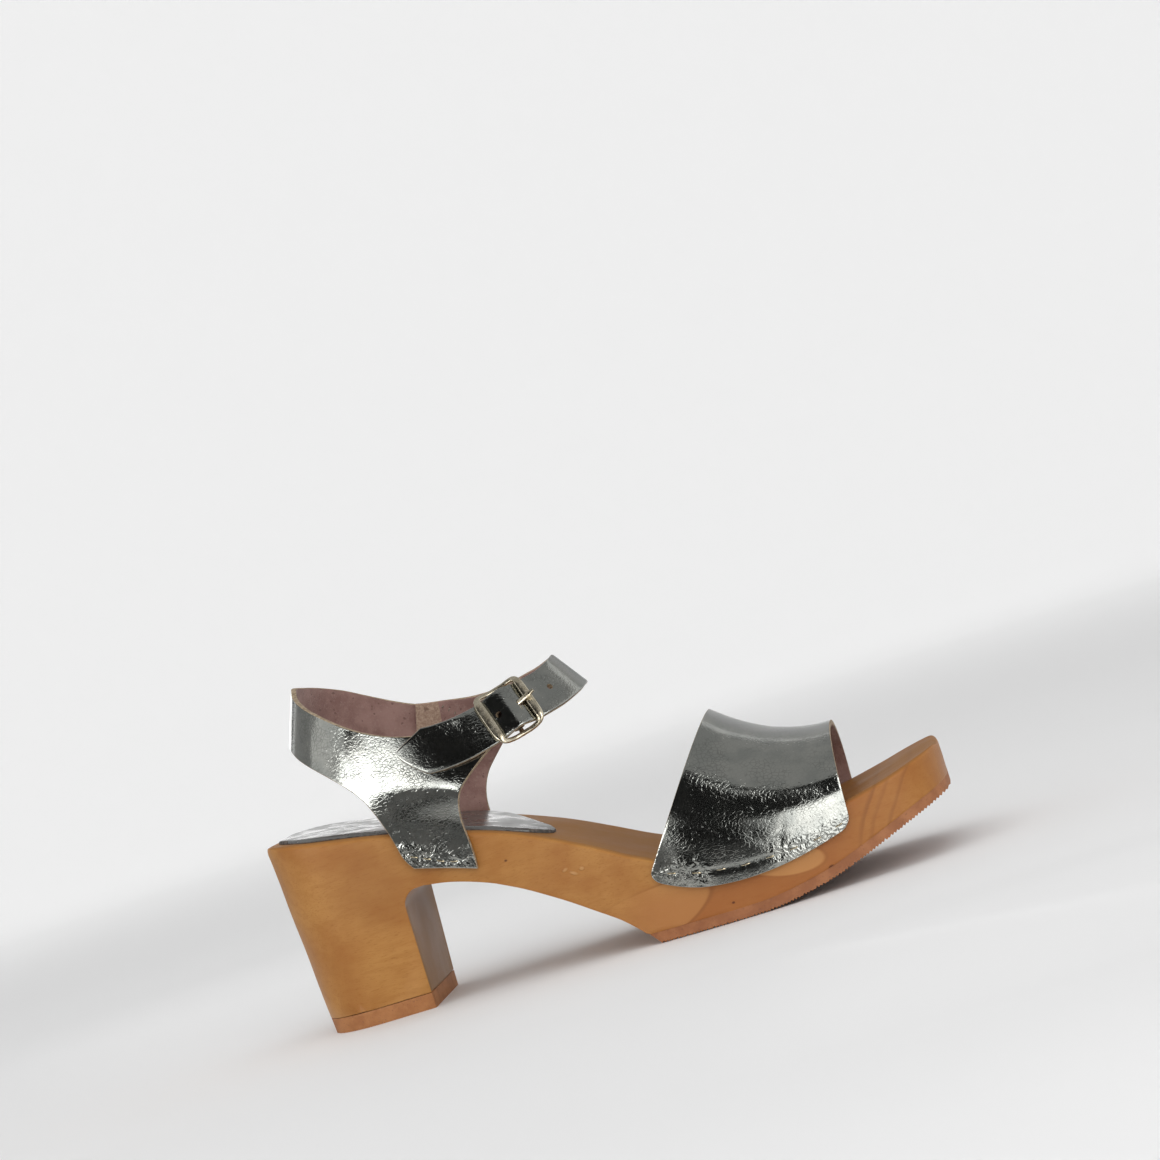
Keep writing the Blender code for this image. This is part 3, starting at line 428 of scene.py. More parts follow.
def turn_at(x, z, side):
    """The turn whose wall passes a station at a height, on the side of the ankle."""
    turns = np.linspace(0.05, 0.80, 151)
    reach = [ring_point(t, z, side).x for t in turns]
    return float(np.interp(x, reach, turns))


def leg_point(x, z, side):
    """Outer face of a leg: against the wood's side below, on the ankle ring above."""
    sign = -1 if side == "outer" else 1
    wall = side_half(x, min(z, footbed_z(x)), side) + GAP + QUARTER_THICKNESS
    above = ring_point(turn_at(x, z, side), z, side)
    share = blend(footbed_z(x) + 0.001, footbed_z(x) + 0.018, z)
    return Vector((x, mix(sign * wall, above.y, share), z))


def quarter_half(side):
    """Columns of the collar from the back to the arm's end, and rows of the leg."""
    edge = {key: smooth(QUARTER_EDGE["turn"], QUARTER_EDGE[key]) for key in QUARTER_EDGE
            if key != "turn"}
    rise = ANKLE_RISE

    def top_z(turn):
        return SEAT_HEIGHT + rise * edge[side + "_top"](turn)

    def low_z(turn):
        return SEAT_HEIGHT + rise * edge[side + "_low"](turn)

    leg_rows = []
    columns = 8
    for row in range(len(LEG["rear"])):
        rear = station_x(LEG["rear"][row])
        front = station_x(LEG["front"][row])
        low = []
        for k in range(columns + 1):
            x = mix(rear, front, k / columns)
            height = mix(LEG["rear_height"][row], LEG["front_height"][row], k / columns)
            low.append((x, footbed_z(x) + rise * height))
        leg_rows.append(low)
    leg = [[leg_point(x, z, side) for x, z in row] for row in leg_rows]

    def collar_column(turn, foot):
        top = top_z(turn)
        steps = 6
        column = []
        for k in range(steps):
            z = mix(top, foot.z, k / steps)
            shift = turn_at(foot.x, foot.z, side) if turn > 0.1 else turn
            at = mix(turn, shift, k / steps)
            column.append(ring_point(at, z, side))
        column.append(foot)
        return column

    collar = []
    for turn in (0, 0.03, 0.06, 0.09, 0.12, 0.155, 0.19):
        collar.append(collar_column(turn, ring_point(turn, low_z(turn), side)))
    for k, foot in enumerate(leg[0]):
        collar.append(collar_column(mix(0.235, 0.545, k / columns), foot))
    for turn in (0.59, 0.63, 0.665, 0.695, arm_end_turn()):
        collar.append(collar_column(turn, ring_point(turn, low_z(turn), side)))
    return collar, leg


def arm_end_turn():
    """The arm stops at the sleeve round the centre bar."""
    return BUCKLE_TURN - (PIN_RADIUS + GAP + SLEEVE_WALL * 0.15) / ring_speed(BUCKLE_TURN)


def ring_speed(turn):
    """Length of the outer ring per turn."""
    return (ring_middle(turn + 0.01, "outer") - ring_middle(turn - 0.01, "outer")).length / 0.02


def buckle_frame_axes():
    """Middle of the buckle, and its directions along, across (down) and out of the strap."""
    middle = ring_middle(BUCKLE_TURN, "outer")
    ahead = ring_middle(BUCKLE_TURN + 0.04, "outer")
    behind = ring_middle(BUCKLE_TURN - 0.04, "outer")
    along = (ahead - behind).normalized()
    return middle, along, *strap_axes(along, BUCKLE_TURN, "outer")


def strap_axes(along, turn, side):
    """Across (down) and outward directions of the strap where it runs along a direction."""
    inward = ring_inward(turn, side)
    up = Vector((0, 0, 1)) + inward * ring_curve["lean"](turn)
    up = (up - along * up.dot(along)).normalized()
    out = up.cross(along)
    if out.dot(inward) > 0:
        out = -out
    return -up, out.normalized()


def axes_matrix(origin, x, y, z):
    matrix = Matrix((x, y, z)).transposed().to_4x4()
    matrix.translation = origin
    return matrix


def pin_origin():
    """Middle of the buckle's centre bar."""
    middle, _, _, out = buckle_frame_axes()
    return middle + out * PIN_HEIGHT


def strap_offset(run):
    """Middle of the strap out from the quarter's face, by distance from the centre bar."""
    reach = BUCKLE_LENGTH / 2 - BAR_WIDTH / 2
    inside = max(0, 1 - (run / reach) ** 2) ** 2
    return GAP + STRAP_THICKNESS / 2 + STRAP_BUMP * inside


def prong_slope():
    return (PRONG_TIP_HEIGHT - PIN_HEIGHT) / (BUCKLE_LENGTH / 2 - BAR_WIDTH / 2)


# The camera, fitted to the photo's edges of the shoe
CAMERA_PLACE = Vector((0.24029, -1.12890, 0.12225))
CAMERA_AXES = ((0.9460130, 0.1097188, -0.3049938),
               (0.3034082, 0.0312793, 0.9523471),
               (0.1140302, -0.9934706, -0.0036989))
LENS = 100
SENSOR = 36
PHOTO_SIZE = 1160


def seen(u, v, y):
    """The point on the upright plane y that the photo shows at pixel u, v."""
    focal = LENS / SENSOR * PHOTO_SIZE
    half = PHOTO_SIZE / 2
    ray = Matrix(CAMERA_AXES).transposed() @ Vector(((u - half) / focal, (half - v) / focal, -1))
    return CAMERA_PLACE + ray * ((y - CAMERA_PLACE.y) / ray.y)


class Graph:
    """A material's nodes."""

    def __init__(self, name, **shader):
        self.material = bpy.data.materials.new(name)
        self.material.use_nodes = True
        self.tree = self.material.node_tree
        self.shader = self.tree.nodes["Principled BSDF"]
        for key, value in shader.items():
            self.shader.inputs[key.replace("_", " ")].default_value = value
        self.place = self.tree.nodes.new("ShaderNodeTexCoord").outputs["Object"]

    def put(self, value, socket):
        if isinstance(value, bpy.types.NodeSocket):
            self.tree.links.new(value, socket)
        else:
            socket.default_value = value

    def to(self, name, value):
        self.put(value, self.shader.inputs[name])

    def node(self, kind, **values):
        """A new node with its inputs set to numbers or joined to other nodes' outputs."""
        node = self.tree.nodes.new("ShaderNode" + kind)
        for key, value in values.items():
            self.put(value, node.inputs[key.replace("_", " ")])
        return node

    def math(self, operation, a, b=0.0, c=0.0):
        node = self.node("Math")
        node.operation = operation
        for socket, value in zip(node.inputs, (a, b, c)):
            self.put(value, socket)
        return node.outputs[0]

    def times(self, *factors):
        total = factors[0]
        for factor in factors[1:]:
            total = self.math("MULTIPLY", total, factor)
        return total

    def scaled(self, scale, turn=(0, 0, 0)):
        """The place on the piece, turned and stretched."""
        turn = [math.radians(t) for t in turn]
        return self.node("Mapping", Vector=self.place, Rotation=turn, Scale=scale).outputs[0]

    def noise(self, scale, detail=2.0, rough=0.5, place=None, bend=0.0):
        return self.node("TexNoise", Vector=place or self.place, Scale=scale, Detail=detail,
                         Roughness=rough, Distortion=bend).outputs["Fac"]

    def cracks(self, scale, place):
        """Distance to the lines between scattered cells."""
        node = self.node("TexVoronoi", Vector=place, Scale=scale)
        node.feature = "DISTANCE_TO_EDGE"
        return node.outputs["Distance"]

    def span(self, value, low, high, out_low=0.0, out_high=1.0):
        """value from low to high, eased to the output range and held beyond."""
        node = self.node("MapRange", Value=value, From_Min=low, From_Max=high, To_Min=out_low,
                         To_Max=out_high)
        node.interpolation_type = "SMOOTHSTEP"
        return node.outputs["Result"]

    def mix(self, share, a, b):
        node = self.node("Mix", Factor=share)
        node.data_type = "RGBA"
        self.put((*a, 1) if isinstance(a, tuple) else a, node.inputs[6])
        self.put((*b, 1) if isinstance(b, tuple) else b, node.inputs[7])
        return node.outputs[2]

    def axis(self, name, place=None):
        return self.node("SeparateXYZ", Vector=place or self.place).outputs[name]

    def facing(self, name):
        """One part of the surface's own direction."""
        return self.axis(name, self.node("NewGeometry").outputs["Normal"])

    def stored(self, name):
        """A number kept at the mesh's points."""
        node = self.node("Attribute")
        node.attribute_name = name
        return node.outputs["Fac"]

    def bump(self, height, distance, strength=1.0, under=None):
        node = self.node("Bump", Height=height, Distance=distance, Strength=strength)
        if under:
            self.put(under, node.inputs["Normal"])
        return node.outputs[0]

    def oval(self, middle, reach, turn=0, ragged=0.0):
        """How far out from an oval's middle a point of the side lies: 1 is on its line."""
        x = self.math("SUBTRACT", self.axis("X"), middle[0])
        z = self.math("SUBTRACT", self.axis("Z"), middle[1])
        c = math.cos(math.radians(turn))
        s = math.sin(math.radians(turn))
        along = self.math("ADD", self.times(x, c / reach[0]), self.times(z, s / reach[0]))
        across = self.math("ADD", self.times(x, -s / reach[1]), self.times(z, c / reach[1]))
        out = self.math("SQRT", self.math("ADD", self.times(along, along),
                                          self.times(across, across)))
        if ragged:
            out = self.math("MULTIPLY_ADD", self.noise(60, 2), ragged, out)
        return out


def make_foil():
    """Mirror foil on pebbled leather, cracked in places."""
    g = Graph("foil_leather", Metallic=1.0)
    soft = g.noise(120, 2, 0.5)
    pebble = g.noise(950, 3, 0.55, bend=0.8)
    patchy = g.span(g.noise(90, 3, 0.6), 0.40, 0.62)
    crack = g.cracks(640, g.scaled((1, 1, 1.3), (0, 20, 0)))
    crack = g.times(g.span(crack, 0.0, 0.12, 1, 0), g.span(patchy, 0, 1, 0.25, 1))
    pits = g.span(g.noise(760, 1), 0.62, 0.72)
    crumple = g.times(g.noise(500, 1, 0.5, bend=1.0), g.stored("press"))
    tone = g.mix(g.span(soft, 0.35, 0.65), (0.325, 0.335, 0.312), (0.385, 0.39, 0.36))
    tone = g.mix(g.times(crack, 0.35), tone, (0.10, 0.10, 0.09))
    g.to("Base Color", tone)
    g.to("Roughness", g.span(g.noise(260, 4, 0.6), 0.3, 0.7, 0.04, 0.09))
    normal = g.bump(soft, 0.00006, 0.5)
    normal = g.bump(pebble, 0.000034, 0.8, normal)
    normal = g.bump(crack, -0.000016, 0.8, normal)
    normal = g.bump(pits, -0.000022, 0.8, normal)
    normal = g.bump(crumple, 0.00050, 0.9, normal)
    g.to("Normal", normal)
    return g.material


def make_flesh():
    """Napped flesh side of the leather."""
    g = Graph("flesh_leather", Roughness=0.93)
    g.shader.inputs["Sheen Weight"].default_value = 0.25
    g.shader.inputs["Sheen Roughness"].default_value = 0.5
    cloud = g.noise(95, 4, 0.65)
    fibre = g.noise(900, 4, 0.7, bend=1.5)
    tone = g.mix(g.span(cloud, 0.35, 0.66), (0.235, 0.128, 0.108), (0.335, 0.200, 0.170))
    tone = g.mix(g.span(fibre, 0.52, 0.72, 0, 0.45), tone, (0.42, 0.30, 0.26))
    tone = g.mix(g.span(g.noise(520, 2), 0.64, 0.72, 0, 0.6), tone, (0.11, 0.055, 0.045))
    g.to("Base Color", tone)
    g.to("Normal", g.bump(fibre, 0.0003, 0.6))
    return g.material


def make_cut_edge():
    """Raw cut edge of the leather, tan with a little of the foil's shine."""
    g = Graph("edge_leather", Roughness=0.6, Metallic=0.15)
    layers = g.noise(700, 4, 0.65, g.scaled((1, 1, 2.4)))
    tone = g.mix(g.span(layers, 0.35, 0.65), (0.225, 0.160, 0.098), (0.430, 0.335, 0.225))
    g.to("Base Color", tone)
    g.to("Normal", g.bump(layers, 0.0003, 0.7))
    return g.material


def make_skived():
    """Thinned end of the strap, paler and rougher than the flesh side."""
    g = Graph("skived_leather", Roughness=0.95)
    fibre = g.noise(650, 4, 0.7, bend=2.0)
    tone = g.mix(g.span(fibre, 0.35, 0.7), (0.300, 0.190, 0.135), (0.500, 0.365, 0.270))
    tone = g.mix(g.span(g.noise(380, 3), 0.58, 0.70, 0, 0.7), tone, (0.17, 0.095, 0.065))
    g.to("Base Color", tone)
    g.to("Normal", g.bump(fibre, 0.0005, 0.8))
    return g.material


def make_wood():
    """Oiled alder with the photo's grain, patches, specks and the rough spot."""
    g = Graph("wood", Roughness=0.42)
    g.shader.inputs["Specular IOR Level"].default_value = 0.22
    bend = g.noise(28, 2, 0.5)
    long_grain = g.noise(1, 6, 0.62, g.scaled((70, 420, 420), (0, -6, 0)), 0.5)
    fine_grain = g.noise(1, 4, 0.7, g.scaled((420, 2300, 2300), (0, -6, 0)))
    cloud = g.noise(42, 3, 0.55)
    tone = g.mix(g.span(cloud, 0.33, 0.68), (0.360, 0.148, 0.034), (0.455, 0.218, 0.058))
    tone = g.mix(g.span(long_grain, 0.42, 0.66, 0, 0.35), tone, (0.325, 0.125, 0.026))
    tone = g.mix(g.span(fine_grain, 0.52, 0.70, 0, 0.50), tone, (0.275, 0.100, 0.021))

    # Darker and redder low on the forefoot's side
    ahead = g.span(g.axis("X"), 0.085, 0.115)
    rise = g.times(g.span(g.axis("X"), 0.13, 0.21), 0.024)
    under_line = g.math("SUBTRACT", g.axis("Z"), rise)
    red = g.times(ahead, g.span(under_line, 0.010, 0.024, 0.75, 0.0),
                  g.span(g.axis("X"), 0.165, 0.195, 1.0, 0.35))
    tone = g.mix(red, tone, (0.335, 0.110, 0.030))

    # Pale patches with dark rims, left and right below the band
    left = g.oval((0.098, 0.0085), (0.0290, 0.0095), 12, 0.10)
    patch = g.times(g.span(left, 0.97, 1.05, 1, 0), ahead)
    tone = g.mix(g.times(patch, 0.36), tone, (0.575, 0.290, 0.098))
    line = g.times(g.span(left, 1.0, 1.035), g.span(left, 1.035, 1.12, 1, 0),
                   g.span(g.axis("X"), 0.095, 0.120, 0.15, 0.6))
    tone = g.mix(line, tone, (0.250, 0.095, 0.030))
    right = g.oval((0.1525, 0.0150), (0.0150, 0.0056), -12, 0.12)
    tone = g.mix(g.span(right, 0.9, 1.02, 0.55, 0), tone, (0.590, 0.300, 0.104))
    rim = g.times(g.span(right, 0.98, 1.02), g.span(right, 1.02, 1.10, 1, 0))
    tone = g.mix(g.times(rim, 0.35), tone, (0.27, 0.105, 0.032))

    # Grain lines that curve up to the toe
    toe = g.span(g.axis("X"), 0.172, 0.186)
    for middle, reach, strength in (((0.2900, -0.0420), (0.1250, 0.1250), 0.60),
                                    ((0.2900, -0.0420), (0.1215, 0.1215), 0.30),
                                    ((0.2830, -0.0400), (0.1080, 0.1130), 0.42)):
        out = g.oval(middle, reach, 0, 0.02)
        stroke = g.times(g.span(out, 0.993, 1.0), g.span(out, 1.0, 1.012, 1, 0))
        tone = g.mix(g.times(stroke, toe, strength), tone, (0.215, 0.080, 0.026))

    # Light and dark areas of the heel
    heel = g.oval((-0.0060, 0.0460), (0.0270, 0.0440), 10, 0.08)
    behind = g.span(g.axis("X"), 0.010, 0.024, 1, 0)
    tone = g.mix(g.times(g.span(heel, 0.95, 1.12, 0, 0.40), behind), tone,
                 (0.60, 0.315, 0.115))
    dusk = g.oval((0.0130, 0.0480), (0.0200, 0.0170), 20, 0.3)
    tone = g.mix(g.span(dusk, 0.3, 1.5, 0.42, 0), tone, (0.290, 0.118, 0.036))

    # Dark specks, and the chips of the rough spot on the outer side
    for x, z, size in ((0.1673, 0.0081, 0.0009), (0.1758, 0.0101, 0.0007),
                       (0.0600, 0.0420, 0.0005), (0.1320, 0.0065, 0.0005)):
        speck = g.oval((x, z), (size, size * 0.7), 0)
        tone = g.mix(g.span(speck, 0.6, 1.6, 0.85, 0), tone, (0.085, 0.026, 0.010))
    outer_side = g.span(g.axis("Y"), -0.012, -0.006, 1, 0)
    chips = 0.0
    for pixel, reach, turn in (((566, 869), (0.0010, 0.0005), 20),
                               ((575, 872), (0.0013, 0.0006), -30),
                               ((583, 867), (0.0008, 0.0006), 0)):
        place = seen(*pixel, ROUGH_SPOT_SIDE)
        out = g.oval((place.x, place.z), reach, turn, 0.5)
        chips = g.math("ADD", chips, g.span(out, 0.6, 1.7, 1, 0))
    chips = g.times(chips, outer_side)
    tone = g.mix(g.times(chips, 0.45), tone, (0.64, 0.38, 0.17))

    # The footbed is duller, and its upward faces are darkened, partly by a darker varnish and
    # mostly by painted shade. The heel's breast is turned a duller brown.
    top = g.span(g.facing("Z"), 0.45, 0.80)
    tone = g.mix(g.times(top, 0.70), tone, (0.262, 0.132, 0.052))
    g.to("Specular IOR Level", g.span(g.facing("Z"), 0.35, 0.75, 0.20, 0.03))
    breast = g.times(g.span(g.facing("X"), 0.7, 0.95), g.span(g.axis("X"), 0.03, 0.06, 1, 0))
    tone = g.mix(g.times(breast, 0.75), tone, (0.260, 0.150, 0.072))
    g.to("Base Color", tone)
    g.to("Roughness", g.span(cloud, 0.3, 0.7, 0.36, 0.50))
    normal = g.bump(fine_grain, 0.00012, 0.40)
    normal = g.bump(bend, 0.0016, 0.30, normal)
    normal = g.bump(chips, 0.0004, 0.7, normal)
    g.to("Normal", normal)
    return g.material


def make_rubber(name, low, high):
    g = Graph(name, Roughness=0.72)
    tone = g.mix(g.span(g.noise(160, 4, 0.6), 0.35, 0.66), low, high)
    tone = g.mix(g.span(g.noise(1300, 2), 0.60, 0.72, 0, 0.5), tone, (0.17, 0.065, 0.030))
    g.to("Base Color", tone)
    g.to("Normal", g.bump(g.noise(1400, 3, 0.6), 0.0002, 0.5))
    return g.material


def make_sock_foil():
    """Silver foil of the padded sock, smoother than the upper."""
    g = Graph("sock_leather", Metallic=0.95)
    pebble = g.noise(950, 3, 0.6)
    tone = g.mix(g.span(g.noise(55, 3), 0.35, 0.65), (0.27, 0.27, 0.265), (0.34, 0.34, 0.33))
    tone = g.mix(g.span(g.noise(330, 3), 0.63, 0.72, 0, 0.35), tone, (0.24, 0.22, 0.20))
    g.to("Base Color", tone)
    g.to("Roughness", g.span(g.noise(120, 3), 0.35, 0.65, 0.24, 0.36))
    normal = g.bump(g.noise(70, 2), 0.0012, 0.30)
    g.to("Normal", g.bump(pebble, 0.00012, 0.5, normal))
    return g.material


def make_sock_edge():
    g = Graph("sock_edge", Roughness=0.85)
    tone = g.mix(g.span(g.noise(600, 3), 0.4, 0.6), (0.055, 0.048, 0.044), (0.13, 0.11, 0.095))
    g.to("Base Color", tone)
    g.to("Normal", g.bump(g.noise(900, 2), 0.0002, 0.6))
    return g.material


def make_metal(name, bright, dull, rough):
    """Old cast metal, darker where it is never rubbed."""
    g = Graph(name, Metallic=1.0)
    cloud = g.noise(420, 4, 0.6)
    tone = g.mix(g.span(cloud, 0.36, 0.66), bright, dull)
    tone = g.mix(g.span(g.noise(1500, 3), 0.64, 0.78, 0, 0.4), tone, (0.10, 0.075, 0.045))
    g.to("Base Color", tone)
    g.to("Roughness", g.span(g.noise(900, 3), 0.3, 0.7, rough, rough + 0.16))
    g.to("Normal", g.bump(g.noise(420, 2, 0.5), 0.00010, 0.5))
    return g.material


def make_thread():
    g = Graph("thread", Roughness=0.8)
    tone = g.mix(g.span(g.noise(1500, 2), 0.4, 0.6), (0.20, 0.165, 0.125), (0.33, 0.28, 0.22))
    g.to("Base Color", tone)
    g.to("Normal", g.bump(g.noise(1, 2, 0.5, g.scaled((3000, 3000, 900))), 0.0001, 0.6))
    return g.material


FOIL = make_foil()
FLESH = make_flesh()
EDGE = make_cut_edge()
SKIVED = make_skived()
WOOD = make_wood()
OUTSOLE_RUBBER = make_rubber("outsole_rubber", (0.285, 0.100, 0.032), (0.375, 0.145, 0.052))
LIFT_RUBBER = make_rubber("lift_rubber", (0.345, 0.130, 0.036), (0.430, 0.180, 0.056))
SOCK_FOIL = make_sock_foil()
SOCK_EDGE = make_sock_edge()
BRASS = make_metal("buckle_metal", (0.66, 0.60, 0.47), (0.52, 0.46, 0.34), 0.16)
STEEL = make_metal("staple_metal", (0.75, 0.66, 0.46), (0.60, 0.50, 0.33), 0.18)
THREAD = make_thread()


def new_piece(name, bm, materials):
    """An object in the frame's own place from a mesh worked out round the heel's foot."""
    bmesh.ops.recalc_face_normals(bm, faces=bm.faces)
    mesh = bpy.data.meshes.new(name)
    bm.to_mesh(mesh)
    bm.free()
    mesh.transform(Matrix.Translation(TO_ROW))
    for material in materials:
        mesh.materials.append(material)
    obj = bpy.data.objects.new(name, mesh)
    bpy.context.scene.collection.objects.link(obj)
    mesh.shade_smooth()
    return obj


def apply_modifiers(obj):
    graph = bpy.context.evaluated_depsgraph_get()
    graph.update()
    old = obj.data
    mesh = bpy.data.meshes.new_from_object(obj.evaluated_get(graph))
    obj.modifiers.clear()
    obj.data = mesh
    bpy.data.meshes.remove(old)


def bevel(obj, width, angle=40, material=-1):
    edge = obj.modifiers.new("Edges", "BEVEL")
    edge.width = width
    edge.segments = 2
    edge.limit_method = "ANGLE"
    edge.angle_limit = math.radians(angle)
    edge.material = material


def settle(obj, slot, *nodes, sharp=35):
    """The last step of every piece: its shading, body and the nodes it stands for. slot is not
    used.
    """
    apply_modifiers(obj)
    obj.data.shade_smooth()
    obj.data.set_sharp_from_angle(angle=math.radians(sharp))
    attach(obj, "root")
    if nodes:
        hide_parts(*nodes)
    return obj


def loft(rings, closed=False):
    """A skin over rings of points, capped at its ends or closed on itself."""
    bm = bmesh.new()
    loops = [[bm.verts.new(p) for p in ring] for ring in rings]
    pairs = list(zip(loops, loops[1:]))
    if closed:
        pairs.append((loops[-1], loops[0]))
    for a, b in pairs:
        for i in range(len(a)):
            j = (i + 1) % len(a)
            bm.faces.new((a[i], a[j], b[j], b[i]))
    if not closed:
        caps = [bm.faces.new(loops[0]), bm.faces.new(list(reversed(loops[-1])))]
        bmesh.ops.triangulate(bm, faces=caps)
    return bm


# Wood, rubber and sock

def sole_ring(x, low, rim):
    """A fine section of the wood, with its rounded rim."""
    top = footbed_z(x) - end_drop(x)
    sides = []
    for side, sign in (("outer", -1), ("inner", 1)):
        column = []
        half = side_half(x, top, side)
        inset = min(rim, half * 0.5)
        for k in range(9):
            angle = math.radians(90 - 11.25 * k)
            column.append((x, sign * (half - inset * (1 - math.cos(angle))),
                           top - rim * (1 - math.sin(angle))))
        rows = 16
        for k in range(1, rows + 1):
            z = mix(top - rim, low, k / rows)
            column.append((heel_x(x, z), sign * side_half(x, z, side), z))
        if sign > 0:
            column.reverse()
        sides.append(column)
    outer, inner = sides
    bottom = [mix_points(outer[-1], inner[0], k / 14) for k in range(1, 14)]
    across = [mix_points(inner[-1], outer[0], k / 18) for k in range(1, 18)]
    return outer + bottom + inner + across


def back_stations():
    """Places that crowd towards the shoe's rounded back."""
    return [BACK + d for d in end_stations(BACK_ROUND["length"] * LENGTH, 26, 0.0012)]


def fine_wood_stations():
    """Places along the shoe for the wood's sections, with the underside's height at each."""
    heel_low = LIFT_THICKNESS + GAP
    breast = station_x(BREAST)
    heel = list(np.linspace(station_x(BACK_ROUND["length"]), breast, 14))
    sections = [(x, heel_low) for x in back_stations() + heel]
    arch_start = station_x(ARCH["station"][0])
    roof = arch_z(arch_start)
    # The fillet between the heel's breast and the arch
    for k in range(9):
        angle = math.radians(10 * k)
        x = breast + 0.001 + BREAST_FILLET * (1 - math.cos(angle))
        sections.append((x, roof - BREAST_FILLET * (1 - math.sin(angle))))
    toe_start = station_x(1 - TOE_ROUND["length"])
    toe = [station_x(1) - d for d in end_stations(TOE_ROUND["length"] * LENGTH, 28, 0.0010)]
    for x in list(np.linspace(arch_start, toe_start, 120)) + toe[::-1]:
        low = tread_z(x) + OUTSOLE_THICKNESS
        if x_station(x) < ARCH["station"][-1]:
            low = max(low, arch_z(x))
        sections.append((x, low))
    return sections


def sanded(obj, depth, scale):
    """Hand-sanded unevenness along the surface's own directions."""
    for vertex in obj.data.vertices:
        vertex.co += vertex.normal * depth * noise.noise(vertex.co * scale)


def make_wood_piece():
    rings = [sole_ring(x, low, EDGE_ROUND) for x, low in fine_wood_stations()]
    obj = new_piece("wood_body", loft(rings), [WOOD])
    bevel(obj, 0.0005)
    apply_modifiers(obj)
    sanded(obj, 0.00022, 55)
    return settle(obj, "wood", "wood_sole", sharp=50)


def slab_ring(x_top, x_low, z_top, z_low, halves, across, rim=0.0):
    """A section of a flat layer, from the outer side over the top and back underneath."""
    outer, inner = halves
    ring = []
    for k in range(across + 1):
        y = mix(-outer, inner, k / across)
        edge = min(y + outer, inner - y)
        fall = rim - math.sqrt(max(0, rim ** 2 - max(0, rim - edge) ** 2))
        ring.append((x_top, y, z_top - fall))
    return ring + [(x_low, mix(inner, -outer, k / across), z_low) for k in range(across + 1)]


def make_outsole_piece():
    """Rubber under the forefoot with fine ribs across its tread."""
    rear_low = station_x(ARCH["station"][-1]) + TREAD_REAR
    rear_top = rear_low - TREAD_CUT
    tip = station_x(1)
    count = int((tip - rear_low) / TOOTH_PITCH) * 2
    shares = [k / count for k in range(count)] + [1 - 0.00045, 1 - 0.00015]
    rings = []
    for k, share in enumerate(shares):
        x_low = mix(rear_low, tip, share)
        x_top = mix(rear_top, tip, share)
        halves = [plan_half(x_low, side) for side in ("outer", "inner")]
        rib = TOOTH_DEPTH * (k % 2) * (0.7 + 0.6 * noise.noise(Vector((k * 0.37, 0, 0))))
        rings.append(slab_ring(x_top, x_low, tread_z(x_top) + OUTSOLE_THICKNESS,
                               tread_z(x_low) + rib, halves, 12))
    obj = new_piece("outsole_rubber", loft(rings), [OUTSOLE_RUBBER])
    return settle(obj, "sole_rubber", "forefoot_outsole")


def make_lift_piece():
    xs = back_stations() + list(np.linspace(station_x(BACK_ROUND["length"]), station_x(BREAST), 8))
    rings = []
    rows = 5
    for x in xs:
        ring = []
        for sign, side in ((-1, "outer"), (1, "inner")):
            column = []
            for k in range(rows + 1):
                z = LIFT_THICKNESS * (1 - k / rows)
                column.append((heel_x(x, z), sign * side_half(x, z, side), z))
            ring.append(column if sign < 0 else column[::-1])
        outer, inner = ring
        bottom = [mix_points(outer[-1], inner[0], k / 10) for k in range(1, 10)]
        top = [mix_points(inner[-1], outer[0], k / 10) for k in range(1, 10)]
        rings.append(outer + bottom + inner + top)
    obj = new_piece("lift_rubber", loft(rings), [LIFT_RUBBER])
    bevel(obj, 0.00035)
    return settle(obj, "sole_rubber", "heel_lift", sharp=50)


def make_sock_piece():
    """Padded sock with a soft crown and a dark cut edge."""
    outer_share = smooth(SOCK_TIP["station"], SOCK_TIP["outer"])
    inner_share = smooth(SOCK_TIP["station"], SOCK_TIP["inner"])
    first = SOCK_TIP["station"][0]
    last = SOCK_TIP["station"][-1]
    stations = [SOCK_START + SOCK_ROUND * (1 - math.cos(math.pi / 2 * k / 16))
                for k in range(16)]
    stations += list(np.linspace(SOCK_START + SOCK_ROUND, first, 30)[:-1])
    stations += [mix(first, last, math.sin(math.pi / 2 * k / 24)) for k in range(25)]
    rings = []
    for station in stations:
        x = station_x(station)
        outer = plan_half(x, "outer") - SOCK_INSET
        inner = plan_half(x, "inner") - SOCK_INSET
        if station < SOCK_START + 0.06:
            shrink = math.sqrt(1 - (1 - (station - SOCK_START) / 0.0612) ** 2 * 0.75)
            outer *= shrink
            inner *= shrink
        if station > first:
            outer *= outer_share(station) / SOCK_SIDE
            inner = -inner_share(station) / SOCK_SIDE * inner
        low = footbed_z(x) + GAP * 0.3
        end = min(1, (station - SOCK_START) / 0.006, (last - station) / 0.008 + 0.2)
        rise = SOCK_THICKNESS * (0.55 + 0.45 * math.sqrt(max(0, end)))
        rings.append(slab_ring(x, x, low + rise, low, (outer, inner), 40, SOCK_RIM))
    obj = new_piece("sock_pad", loft(rings), [SOCK_FOIL, SOCK_EDGE])
    for face in obj.data.polygons:
        face.material_index = 0 if face.normal.z > 0.55 else 1
    return settle(obj, "sock_leather", "heel_sock", sharp=60)


# Leather

def along_line(point, line):
    """Distance from a point to a line through points, and how far along it the nearest is."""
    best = (1e9, 0)
    run = 0
    for a, b in zip(line, line[1:]):
        step = b - a
        share = min(max((point - a).dot(step) / step.length_squared, 0), 1)
        distance = (point - a - step * share).length
        if distance < best[0]:
            best = (distance, run + share * step.length)
        run += step.length
    return best


